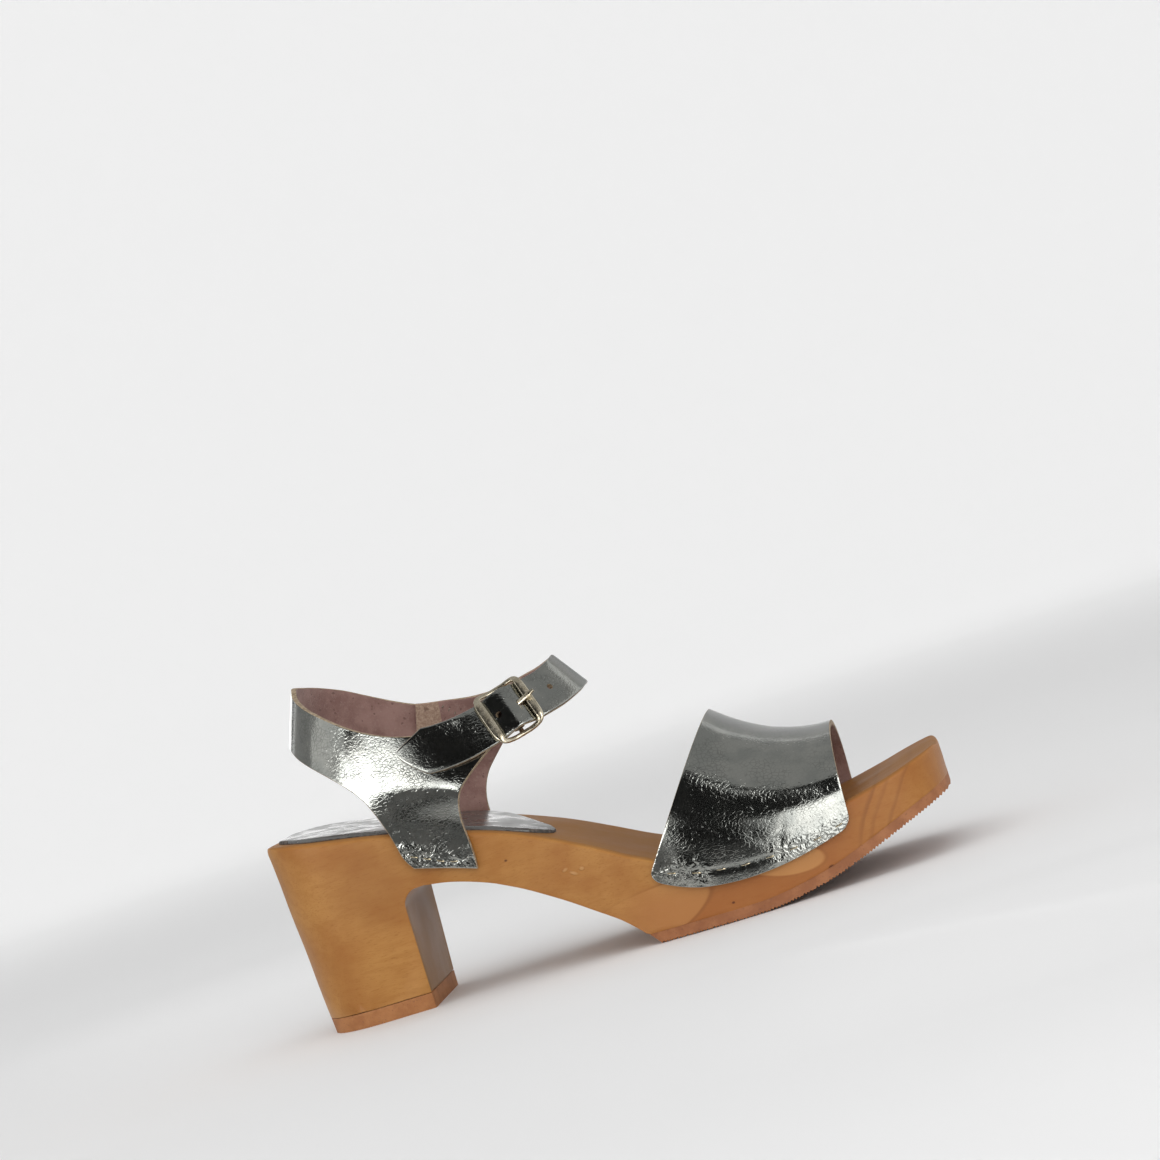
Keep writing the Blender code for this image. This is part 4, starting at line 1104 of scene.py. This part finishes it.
def crease_height(point, creases):
    """Sum of soft troughs and ridges: (line, width, depth, pit spacing) each."""
    total = 0
    for line, width, depth, pitch in creases:
        distance, run = along_line(point, line)
        if distance > 3 * width:
            continue
        swell = math.exp(-(distance / width) ** 2)
        if pitch:
            swell *= 0.45 + 0.55 * math.cos(math.pi * run / pitch) ** 2
        total -= depth * swell
    return total


def outward(obj):
    """Turn an open sheet's faces away from the shoe's middle line."""
    total = 0
    for face in obj.data.polygons:
        middle = Vector((0, face.center.y, max(0, face.center.z - SEAT_HEIGHT)))
        total += face.normal.dot(middle) * face.area
    if total < 0:
        obj.data.flip_normals()


def relieve(obj, creases, depth, scale):
    """Listed creases and the leather's slow unevenness.

    "press" is kept for the foil: 1 on the rows where the leather is nailed down.
    """
    moves = []
    press = obj.data.attributes.new("press", "FLOAT", "POINT")
    rows = [line for line, _, _, pitch in creases if pitch]
    for vertex in obj.data.vertices:
        near = min((along_line(vertex.co, line)[0] for line in rows), default=1.0)
        press.data[vertex.index].value = math.exp(-(near / PRESS_REACH) ** 2)
        lift = crease_height(vertex.co, creases) + depth * noise.noise(vertex.co * scale)
        moves.append(vertex.normal * lift)
    for vertex, move in zip(obj.data.vertices, moves):
        vertex.co += move


def wall(obj, thickness, even):
    """Thickness added inwards to an open sheet, with its own flesh side and cut edge."""
    solid = obj.modifiers.new("Wall", "SOLIDIFY")
    solid.thickness = thickness
    solid.offset = -1
    solid.use_even_offset = even
    solid.material_offset = 1
    solid.material_offset_rim = 2


def leather_piece(name, bm, levels, creases, slot, *nodes):
    obj = new_piece(name, bm, [FOIL, FLESH, EDGE])
    outward(obj)
    if levels:
        subdivide = obj.modifiers.new("Smooth", "SUBSURF")
        subdivide.levels = levels
        subdivide.render_levels = levels
        subdivide.boundary_smooth = "PRESERVE_CORNERS"
        apply_modifiers(obj)
    relieve(obj, creases, 0.00005, 80)
    wall(obj, BAND_THICKNESS * SHEET_SHARE, levels == 0)
    apply_modifiers(obj)
    bevel(obj, 0.0004, 60, 2)
    return settle(obj, slot, *nodes, sharp=60)


def lines_at(y, *lines):
    """Creases as the photo shows them, on the shoe's side at y."""
    return [([seen(u, v, y) for u, v in pixels], width, depth, pitch)
            for pixels, width, depth, pitch in lines]


def mirrored(creases):
    """The same creases on the inner side of the shoe."""
    return [([Vector((p.x, -p.y, p.z)) for p in line], width, depth, pitch)
            for line, width, depth, pitch in creases]


def make_band_piece():
    """The vamp band as one sheet, pressed down where it is nailed to the wood."""
    over = 75
    along = 84
    levels = [0.02 * k for k in range(16)] + [0.32 + 0.68 * k / 14 for k in range(15)]
    levels += [1 + math.sin(math.pi / 2 * k / over) ** 1.15 for k in range(1, over + 1)]
    levels = sorted(set(round(level, 5) for level in levels))
    columns = [(level, "outer") for level in levels]
    columns += [(level, "inner") for level in levels[-2::-1]]
    grid = []
    for level, side in columns:
        inset = corner_inset(level) if level < 1 else 0
        rear = band_edge_x(level, side, BAND_REAR_FOOT, BAND_REAR_LEAN) + inset
        front = band_edge_x(level, side, BAND_FRONT_FOOT, BAND_FRONT_LEAN) - inset
        grid.append([band_point(mix(rear, front, k / along), level, side)
                     for k in range(along + 1)])
    creases = lines_at(
        BAND_SIDE,
        (((664, 874), (682, 874), (700, 873)), 0.0013, 0.00022, 0.0031),
        (((700, 873), (740, 866), (780, 854)), 0.0013, 0.00010, 0),
        (((780, 854), (820, 838), (849, 818)), 0.0013, 0.00022, 0.0031),
        (((783, 822), (781, 838), (779, 853)), 0.0010, 0.00004, 0),
        (((752, 836), (768, 842), (779, 838)), 0.0018, 0.00010, 0),
        (((690, 858), (697, 868), (703, 879)), 0.0010, 0.00025, 0),
        (((672, 862), (684, 866), (694, 862)), 0.0015, -0.00020, 0),
        (((812, 776), (826, 790), (838, 806)), 0.0032, 0.00012, 0),
        (((700, 800), (730, 812), (762, 806)), 0.0040, 0.00010, 0),
    )
    return leather_piece("band_leather", grid_mesh(grid), 0, creases + mirrored(creases[:3]),
                         "foil_leather", "vamp_band")


def make_quarter_piece():
    bm = bmesh.new()
    for side in ("outer", "inner"):
        collar, leg = quarter_half(side)
        rows = [[bm.verts.new(p) for p in column] for column in collar]
        add_cells(bm, rows)
        joint = [rows[7 + k][-1] for k in range(len(leg[0]))]
        leg_rows = [joint] + [[bm.verts.new(p) for p in row] for row in leg[1:]]
        add_cells(bm, leg_rows)
    bmesh.ops.remove_doubles(bm, verts=bm.verts, dist=0.00005)
    creases = lines_at(
        LEG_SIDE,
        (((404, 855), (420, 858), (440, 861), (460, 862), (474, 860)), 0.0012, 0.00030, 0.0023),
        (((408, 848), (430, 851), (452, 853), (470, 850)), 0.0016, -0.00015, 0),
        (((398, 835), (404, 845), (410, 858)), 0.0012, -0.00015, 0),
        (((448, 768), (452, 785), (456, 805)), 0.0040, 0.00012, 0),
        (((345, 745), (365, 770), (385, 800)), 0.0060, -0.00012, 0),
    )
    return leather_piece("quarter_leather", bm, 3, creases + mirrored(creases[:2]),
                         "foil_leather", "heel_quarter")


def make_tab_loop():
    """The tab's fold round the centre bar, open in the middle for the prong."""
    _, along, across, out = buckle_frame_axes()
    origin = pin_origin()
    bm = bmesh.new()
    gap = SLOT_WIDTH / 2
    for start, end in ((-SLEEVE_LENGTH / 2, -gap), (gap, SLEEVE_LENGTH / 2)):
        rings = []
        for k in range(33):
            angle = 2 * math.pi * k / 32
            direction = along * math.cos(angle) + out * math.sin(angle)
            inner = origin + direction * PIN_BORE
            outer = origin + direction * SLEEVE_RADIUS
            rings.append([inner + across * start, outer + across * start,
                          outer + across * end, inner + across * end])
        loops = [[bm.verts.new(p) for p in ring] for ring in rings[:-1]]
        for a, b in zip(loops, loops[1:] + loops[:1]):
            for i in range(4):
                j = (i + 1) % 4
                bm.faces.new((a[i], a[j], b[j], b[i]))
    obj = new_piece("tab_loop", bm, [FOIL])
    bevel(obj, 0.0003)
    return settle(obj, "foil_leather")


def fine_strap_path():
    turns = list(np.linspace(TAIL_TURN, BUCKLE_TURN - 0.13, 60)[:-1])
    turns += list(np.linspace(BUCKLE_TURN - 0.13, BUCKLE_TURN + 0.13, 70))
    turns += list(np.linspace(BUCKLE_TURN + 0.13, 1, 34)[1:])
    speed = ring_speed(BUCKLE_TURN)
    stations = [(turn, "outer", strap_offset((turn - BUCKLE_TURN) * speed)) for turn in turns]
    inside = -(QUARTER_THICKNESS + GAP + STRAP_THICKNESS / 2)
    flat = GAP + STRAP_THICKNESS / 2
    for turn in np.linspace(1, SEWN_TURN, 110)[1:]:
        stations.append((turn, "inner", mix(inside, flat, blend(0.80, 0.98, turn))))
    return stations


def rounded_section(point, across, out, width, thickness):
    """Flat section with rounded edges, from its inner face round to its outer face and back."""
    edge = thickness * 0.30
    flat = width / 2 - edge
    low = -thickness / 2
    turns = [math.radians(22.5 * k) for k in (1, 2, 3)]
    half = [(mix(-flat, flat, k / 12), low) for k in range(13)]
    half += [(flat + edge * math.sin(t), low + edge * (1 - math.cos(t))) for t in turns]
    half += [(width / 2, low + edge), (width / 2, -low - edge)]
    half += [(flat + edge * math.cos(t), -low - edge * (1 - math.sin(t))) for t in turns]
    shape = half + [(-w, -n) for w, n in half]
    return [point + across * w + out * n for w, n in shape]


def hole_cutter(frames, run, radius, depth, sides, turn):
    """A round punch through the strap, at a distance past the centre bar."""
    point, along, _, normal = strap_place(frames, run)
    bm = bmesh.new()
    bmesh.ops.create_cone(bm, cap_ends=True, segments=sides, radius1=radius, radius2=radius,
                          depth=depth)
    bmesh.ops.recalc_face_normals(bm, faces=bm.faces)
    mesh = bpy.data.meshes.new("cutter")
    bm.to_mesh(mesh)
    bm.free()
    mesh.materials.append(EDGE)
    obj = bpy.data.objects.new("cutter", mesh)
    bpy.context.scene.collection.objects.link(obj)
    obj.matrix_world = (Matrix.Translation(TO_ROW)
                        @ axes_matrix(point, along, normal.cross(along), normal)
                        @ Matrix.Rotation(math.radians(turn), 4, "Z"))
    return obj


def cut(obj, tools):
    for tool in tools:
        hole = obj.modifiers.new("Hole", "BOOLEAN")
        hole.operation = "DIFFERENCE"
        hole.object = tool
        hole.solver = "EXACT"
        hole.material_mode = "TRANSFER"
    apply_modifiers(obj)
    for tool in tools:
        mesh = tool.data
        bpy.data.objects.remove(tool)
        bpy.data.meshes.remove(mesh)


def strap_place(frames, run_from_pin):
    """Point and directions on the strap at a distance past the centre bar."""
    points = [f[0] for f in frames]
    runs = np.cumsum([0] + [(b - a).length for a, b in zip(points, points[1:])])
    pin = pin_origin()
    start = runs[int(np.argmin([(p - pin).length for p in points]))]
    i = int(np.argmin(abs(runs - start - run_from_pin)))
    return frames[i]


def make_strap_piece():
    frames = frames_on(fine_strap_path())
    rings = []
    run = 0
    last = frames[0][0]
    for point, _, across, out in frames:
        run += (point - last).length
        last = point
        share = min(1, 0.10 + 0.90 * (run / TAIL_POINT) ** 0.8)
        rings.append(rounded_section(point, across, out, STRAP_WIDTH * share, STRAP_THICKNESS))
    obj = new_piece("strap_leather", loft(rings), [FOIL, FLESH, EDGE, SKIVED])
    mesh = obj.data
    count = len(rings[0])
    for index, face in enumerate(mesh.polygons):
        ring_index = min(index // count, len(frames) - 1)
        lift = face.normal.dot(frames[ring_index][3])
        if lift > 0.55:
            face.material_index = 0
        elif lift < -0.55:
            face.material_index = 3 if len(frames) - 1 - ring_index < SKIVED_RINGS else 1
        else:
            face.material_index = 2
    tools = [hole_cutter(frames, run, HOLE_DIAMETER / 2, 0.004, 28, 3) for run in HOLE_RUNS]
    tools.append(hole_cutter(frames, PRONG_CROSSING, PRONG_WIDTH * 0.75, 0.006, 24, 0))
    cut(obj, tools)
    return settle(obj, "foil_leather", "ankle_strap", sharp=50)


def frames_on(stations):
    """Middle points and directions along the strap, tail first."""
    points = []
    for turn, side, offset in stations:
        middle = ring_middle(turn, side)
        along = ring_middle(min(turn + 0.01, 1), side) - ring_middle(turn - 0.01, side)
        if turn > 0.995:
            along = Vector((0, 1, 0))
        elif side == "inner":
            along = -along
        along.normalize()
        across, out = strap_axes(along, turn, side)
        points.append((middle + out * offset, across, out))
    frames = []
    for i, (point, across, out) in enumerate(points):
        before = points[max(i - 1, 0)][0]
        after = points[min(i + 1, len(points) - 1)][0]
        along = (after - before).normalized()
        across = (across - along * across.dot(along)).normalized()
        normal = across.cross(along)
        if normal.dot(out) < 0:
            normal = -normal
        frames.append((point, along, across, normal.normalized()))
    return frames


# Buckle, staples and stitches

def squared(angle, power):
    """Cosine and sine of an angle, pushed out towards a rounded rectangle."""
    return [math.copysign(abs(f) ** power, f) for f in (math.cos(angle), math.sin(angle))]


def make_buckle_piece():
    """Cast frame: flat leaf-shaped bar behind, domed notched bar ahead, thin bowed rails."""
    middle, along, across, out = buckle_frame_axes()
    half_length = BUCKLE_LENGTH / 2 - BAR_WIDTH / 2
    half_width = STRAP_WIDTH / 2 + RAIL_CLEARANCE + RAIL_WIDTH / 2
    count = 192
    path = []
    for k in range(count):
        a, w = squared(2 * math.pi * (k + 0.5) / count, 0.26)
        path.append((a * half_length, w * half_width))
    sections = []
    for k, (a, w) in enumerate(path):
        before = Vector(path[k - 2])
        after = Vector(path[(k + 2) % count])
        tangent = (after - before).normalized()
        side = Vector((tangent.y, -tangent.x))
        bar = abs(math.cos(2 * math.pi * (k + 0.5) / count)) ** 2
        middle_share = max(0, 1 - (w / half_width) ** 2)
        swell = 0.0008 * middle_share if a < 0 else 0.0003 * middle_share
        width = mix(RAIL_WIDTH, BAR_WIDTH, bar) + swell * bar
        height = mix(PIN_HEIGHT, BAR_HEIGHT, (a / half_length) ** 2)
        thick = BAR_THICKNESS * (0.80 if a < 0 else 1)
        notch = 0.0005 * math.exp(-(w / 0.0011) ** 2) if a > 0 else 0
        section = []
        for j in range(20):
            sideways, lift = squared(2 * math.pi * (j + 0.5) / 20, 0.62)
            lift *= thick / 2
            if lift > 0:
                lift -= notch
            reach = side * (sideways * width / 2)
            section.append(middle + along * (a + reach.x) + across * (w + reach.y)
                           + out * (height + lift))
        sections.append(section)
    obj = new_piece("buckle_cast", loft(sections, closed=True), [BRASS])
    settle(obj, "buckle_metal", "buckle_frame")
    origin = pin_origin()
    rings = []
    for share in np.linspace(-1, 1, 9):
        rings.append([origin + across * share * half_width
                      + (along * math.cos(t) + out * math.sin(t)) * PIN_RADIUS
                      for t in np.linspace(0, 2 * math.pi, 17)[:-1]])
    pin = new_piece("buckle_pin", loft(rings), [BRASS])
    return settle(pin, "buckle_metal")


def make_prong_piece():
    """Prong bent from flat wire: an eye round the centre bar and a tip over the front bar."""
    _, along, across, out = buckle_frame_axes()
    origin = pin_origin()
    eye = PIN_BORE + PRONG_THICKNESS / 2
    slope = math.atan(prong_slope())
    reach = (BUCKLE_LENGTH / 2 + BAR_WIDTH * 0.25) / math.cos(slope)
    x = along * math.cos(slope) + out * math.sin(slope)
    y = out * math.cos(slope) - along * math.sin(slope)
    path = []
    for k in range(25):
        angle = math.radians(28 + 320 * k / 24)
        path.append((eye * math.cos(angle), eye * math.sin(angle)))
    path = path[::-1]
    for share in np.linspace(0.18, 1, 22):
        path.append((reach * share, 0.00045 * math.sin(math.pi * share)))
    rings = []
    for k, (a, n) in enumerate(path):
        before = Vector(path[max(k - 1, 0)])
        after = Vector(path[min(k + 1, len(path) - 1)])
        tangent = (after - before).normalized()
        side = Vector((-tangent.y, tangent.x))
        width = PRONG_WIDTH / 2 * min(1, 0.62 + 0.38 * (len(path) - 1 - k) / 4)
        ring = []
        for j in range(12):
            w, h = squared(2 * math.pi * (j + 0.5) / 12, 0.6)
            flat = Vector((a, n)) + side * (h * PRONG_THICKNESS / 2)
            ring.append(origin + x * flat.x + y * flat.y + across * (w * width))
        rings.append(ring)
    obj = new_piece("buckle_tongue", loft(rings), [BRASS])
    return settle(obj, "buckle_metal", "buckle_prong")


def wire(bm, points, radius):
    """A round wire through points, closed at its ends."""
    sides = 8
    loops = []
    for k, point in enumerate(points):
        tangent = points[min(k + 1, len(points) - 1)] - points[max(k - 1, 0)]
        tangent.normalize()
        a = tangent.orthogonal().normalized()
        b = tangent.cross(a)
        size = radius * (0.55 if k in (0, len(points) - 1) else 1)
        loops.append([bm.verts.new(point + (a * math.cos(t) + b * math.sin(t)) * size)
                      for t in np.linspace(0, 2 * math.pi, sides + 1)[:-1]])
    for first, second in zip(loops, loops[1:]):
        for i in range(sides):
            j = (i + 1) % sides
            bm.faces.new((first[i], first[j], second[j], second[i]))
    bm.faces.new(loops[0])
    bm.faces.new(loops[-1][::-1])


def row_points(line, start, pitch, count):
    """Points at even steps along a line through points, with the direction there."""
    out = []
    for k in range(count):
        want = start + k * pitch
        for a, b in zip(line, line[1:]):
            length = (b - a).length
            if want <= length:
                out.append((a + (b - a) * (want / length), (b - a).normalized()))
                break
            want -= length
    return out


def on_surface(obj, point, direction):
    """Where a ray from well outside meets a piece, and which way the surface looks."""
    hit, place, normal, _ = obj.ray_cast(point - direction * 0.02, direction, distance=0.04)
    return (place, normal) if hit else (None, None)


def make_staples(name, obj, y, pixels, start, pitch, count, size):
    """Staple crowns pressed into the leather along its nailed edge, both sides of the shoe."""
    bm = bmesh.new()
    line = [seen(u, v, y) for u, v in pixels]
    for mirror in (1, -1):
        for middle, along in row_points(line, start, pitch, count):
            inward = Vector((0, mirror, 0))
            flip = Vector((1, mirror, 1))
            place, normal = on_surface(obj, middle * flip, inward)
            if place is None:
                continue
            step = along * flip
            points = []
            for share in np.linspace(-1, 1, 7):
                arch = (1 - abs(share) ** 4) * 0.00018 - 0.00010
                points.append(place - TO_ROW + step * share * size / 2 + normal * arch)
            wire(bm, points, STAPLE_RADIUS)
    return settle(new_piece(name, bm, [STEEL]), "buckle_metal")


def make_stitches():
    """The seam that holds the strap's end inside the quarter."""
    frames = frames_on(fine_strap_path())
    bm = bmesh.new()
    count = 9
    for k in range(count):
        share = (k + 0.5) / count * 2 - 1
        back = 15 + int(9 * (1 - share ** 2))
        point, along, across, out = frames[-back]
        middle = point + across * share * STRAP_WIDTH * 0.42 - out * STRAP_THICKNESS / 2
        lean = (across - along * share * 1.1).normalized()
        points = [middle + lean * s * 0.0006 - out * (0.00016 * (1 - s * s) - 0.00003)
                  for s in np.linspace(-1, 1, 7)]
        wire(bm, points, THREAD_RADIUS)
    return settle(new_piece("strap_stitches", bm, [THREAD]), "foil_leather")


make_wood_piece()
make_outsole_piece()
make_lift_piece()
make_sock_piece()
band = make_band_piece()
quarter = make_quarter_piece()
make_tab_loop()
make_strap_piece()
make_buckle_piece()
make_prong_piece()
make_staples("quarter_staples", quarter, LEG_SIDE,
             ((409, 857), (425, 859), (445, 862), (472, 861)), 0.0015, 0.0047, 4, 0.0026)
make_staples("band_staples", band, BAND_SIDE,
             ((668, 874), (700, 873), (740, 866), (780, 854), (820, 838), (849, 819)),
             0.0012, 0.0085, 8, 0.0030)
make_stitches()


# Floor, light and camera

def make_stage():
    """A pale bowl: level floor with its rim swept up all round."""
    bm = bmesh.new()
    level = 1.8
    sweep = 1.4
    profile = [(0.3, 0.0), (0.7, 0.0), (1.2, 0.0), (level, 0.0)]
    for k in range(1, 13):
        angle = math.radians(7.5 * k)
        profile.append((level + sweep * math.sin(angle), sweep * (1 - math.cos(angle))))
    profile.append((level + sweep, 2.4))
    rings = []
    sides = 96
    centre = bm.verts.new((0, 0, 0))
    for radius, height in profile:
        rings.append([bm.verts.new((radius * math.cos(2 * math.pi * k / sides),
                                    radius * math.sin(2 * math.pi * k / sides), height))
                      for k in range(sides)])
    for k in range(sides):
        bm.faces.new((centre, rings[0][k], rings[0][(k + 1) % sides]))
    for a, b in zip(rings, rings[1:]):
        for k in range(sides):
            j = (k + 1) % sides
            bm.faces.new((a[k], b[k], b[j], a[j]))
    mesh = bpy.data.meshes.new("floor")
    bm.to_mesh(mesh)
    bm.free()
    g = Graph("floor", Roughness=0.85)
    g.to("Base Color", (0.80, 0.80, 0.80, 1))
    g.to("Emission Color", (1, 1, 1, 1))
    radius = g.math("SQRT", g.math("ADD", g.math("POWER", g.axis("X"), 2.0),
                                   g.math("POWER", g.axis("Y"), 2.0)))
    g.to("Emission Strength", g.span(radius, 0.6, 1.8, 0.0, 0.235))
    mesh.materials.append(g.material)
    obj = bpy.data.objects.new("floor", mesh)
    bpy.context.scene.collection.objects.link(obj)
    mesh.shade_smooth()


def aim(place, target):
    return (Vector(target) - Vector(place)).to_track_quat("-Z", "Y").to_euler()


def softbox(name, size, power, place):
    """A soft light for all but the foil's reflections, which the cards give."""
    light = bpy.data.lights.new(name, "AREA")
    light.shape = "RECTANGLE"
    light.size, light.size_y = size
    light.energy = power
    obj = bpy.data.objects.new(name, light)
    obj.location = place
    obj.rotation_euler = aim(place, MIDDLE)
    obj.visible_camera = False
    obj.visible_glossy = False
    bpy.context.scene.collection.objects.link(obj)


def card(g, place, target, size):
    """A studio card that only the foil's reflections see, named like its material."""
    bm = bmesh.new()
    bmesh.ops.create_grid(bm, x_segments=1, y_segments=1, size=0.5)
    bmesh.ops.scale(bm, vec=(*size, 1), verts=bm.verts)
    mesh = bpy.data.meshes.new(g.material.name)
    bm.to_mesh(mesh)
    bm.free()
    mesh.materials.append(g.material)
    obj = bpy.data.objects.new(g.material.name, mesh)
    obj.location = place
    obj.rotation_euler = aim(place, target)
    obj.visible_camera = False
    obj.visible_diffuse = False
    obj.visible_shadow = False
    bpy.context.scene.collection.objects.link(obj)


def dark_card(name, place, target, size, shade):
    g = Graph(name, Roughness=0.9)
    g.to("Base Color", (shade, shade, shade, 1))
    card(g, place, target, size)


def glow_card(name, place, target, size, strength, fades):
    """A lit card with soft rims, for the foil's reflections alone.

    fades are the widths over which it dims at its left, right, low and high rims.
    """
    g = Graph(name, Roughness=1.0)
    g.to("Base Color", (0.0, 0.0, 0.0, 1))
    g.to("Emission Color", (1, 1, 1, 1))
    light = strength
    for axis, width, (first, last) in (("X", size[0], fades[:2]), ("Y", size[1], fades[2:])):
        reach = width / 2
        rise = g.span(g.axis(axis), -reach, -reach + first)
        fall = g.span(g.axis(axis), reach - last, reach, 1, 0)
        light = g.times(rise, fall, light)
    g.to("Emission Strength", light)
    card(g, place, target, size)


def make_world(level):
    world = bpy.data.worlds.new("studio")
    world.use_nodes = True
    background = world.node_tree.nodes["Background"]
    background.inputs["Color"].default_value = (1, 1, 1, 1)
    background.inputs["Strength"].default_value = level
    bpy.context.scene.world = world


def make_camera():
    data = bpy.data.cameras.new("camera")
    data.lens = LENS
    data.sensor_width = SENSOR
    data.sensor_height = SENSOR
    data.clip_end = 20
    obj = bpy.data.objects.new("camera", data)
    matrix = Matrix(CAMERA_AXES).transposed().to_4x4()
    matrix.translation = CAMERA_PLACE
    obj.matrix_world = matrix
    bpy.context.scene.collection.objects.link(obj)
    bpy.context.scene.camera = obj


MIDDLE = (0.09, 0, 0.05)
make_stage()
make_world(0.42)
softbox("key_light", (3.0, 2.8), 26, (0.0, -0.6, 2.3))
softbox("front_fill", (1.6, 1.2), 9, (0.5, -1.9, 0.9))
glow_card("left_card", (-0.190, -0.400, 0.105), (0.03, -0.03, 0.10), (0.52, 0.15), 6.0,
          (0.05, 0.24, 0.04, 0.05))
glow_card("right_low_card", (0.30, -0.36, 0.062), (0.30, 0.0, 0.062), (0.34, 0.12), 3.0,
          (0.10, 0.06, 0.01, 0.03))
glow_card("right_high_card", (0.355, -0.37, 0.240), (0.355, 0.0, 0.240), (0.28, 0.30), 4.2,
          (0.08, 0.06, 0.03, 0.06))
glow_card("right_floor_card", (0.275, -0.26, 0.003), (0.275, -0.26, 1.0), (0.29, 0.22), 2.6,
          (0.06, 0.05, 0.03, 0.03))
dark_card("room_card", (0.08, -1.60, 0.70), (0.10, -0.04, 0.06), (3.4, 1.75), 0.02)
dark_card("table_card", (0.08, -0.86, 0.002), (0.08, -0.86, 1.0), (2.4, 1.44), 0.38)
dark_card("side_card", (-1.1, 0.35, 0.45), (0.03, 0, 0.08), (1.3, 1.0), 0.40)
dark_card("strap_card", (0.01, -0.20, 0.185), (0.01, 0, 0.185), (0.18, 0.11), 0.02)
dark_card("band_card", (0.055, -0.46, 0.05), (0.055, 0, 0.05), (0.16, 0.10), 0.02)
dark_card("band_side_card", (-0.03, -0.22, 0.03), (-0.03, 0, 0.03), (0.14, 0.06), 0.26)
dark_card("band_floor_card", (0.06, -0.40, 0.004), (0.06, -0.40, 1.0), (0.18, 0.44), 0.03)
dark_card("inner_room_card", (0.00, 1.70, 0.62), (0.08, 0, 0.06), (2.6, 1.0), 0.50)
dark_card("inner_table_card", (0.08, 0.80, 0.002), (0.08, 0.80, 1.0), (2.2, 1.1), 0.50)
glow_card("inner_card", (-0.10, 0.42, 0.10), (0.03, 0.03, 0.09), (0.40, 0.14), 2.6,
          (0.10, 0.10, 0.04, 0.05))
make_camera()
bpy.context.scene.view_settings.view_transform = "Standard"
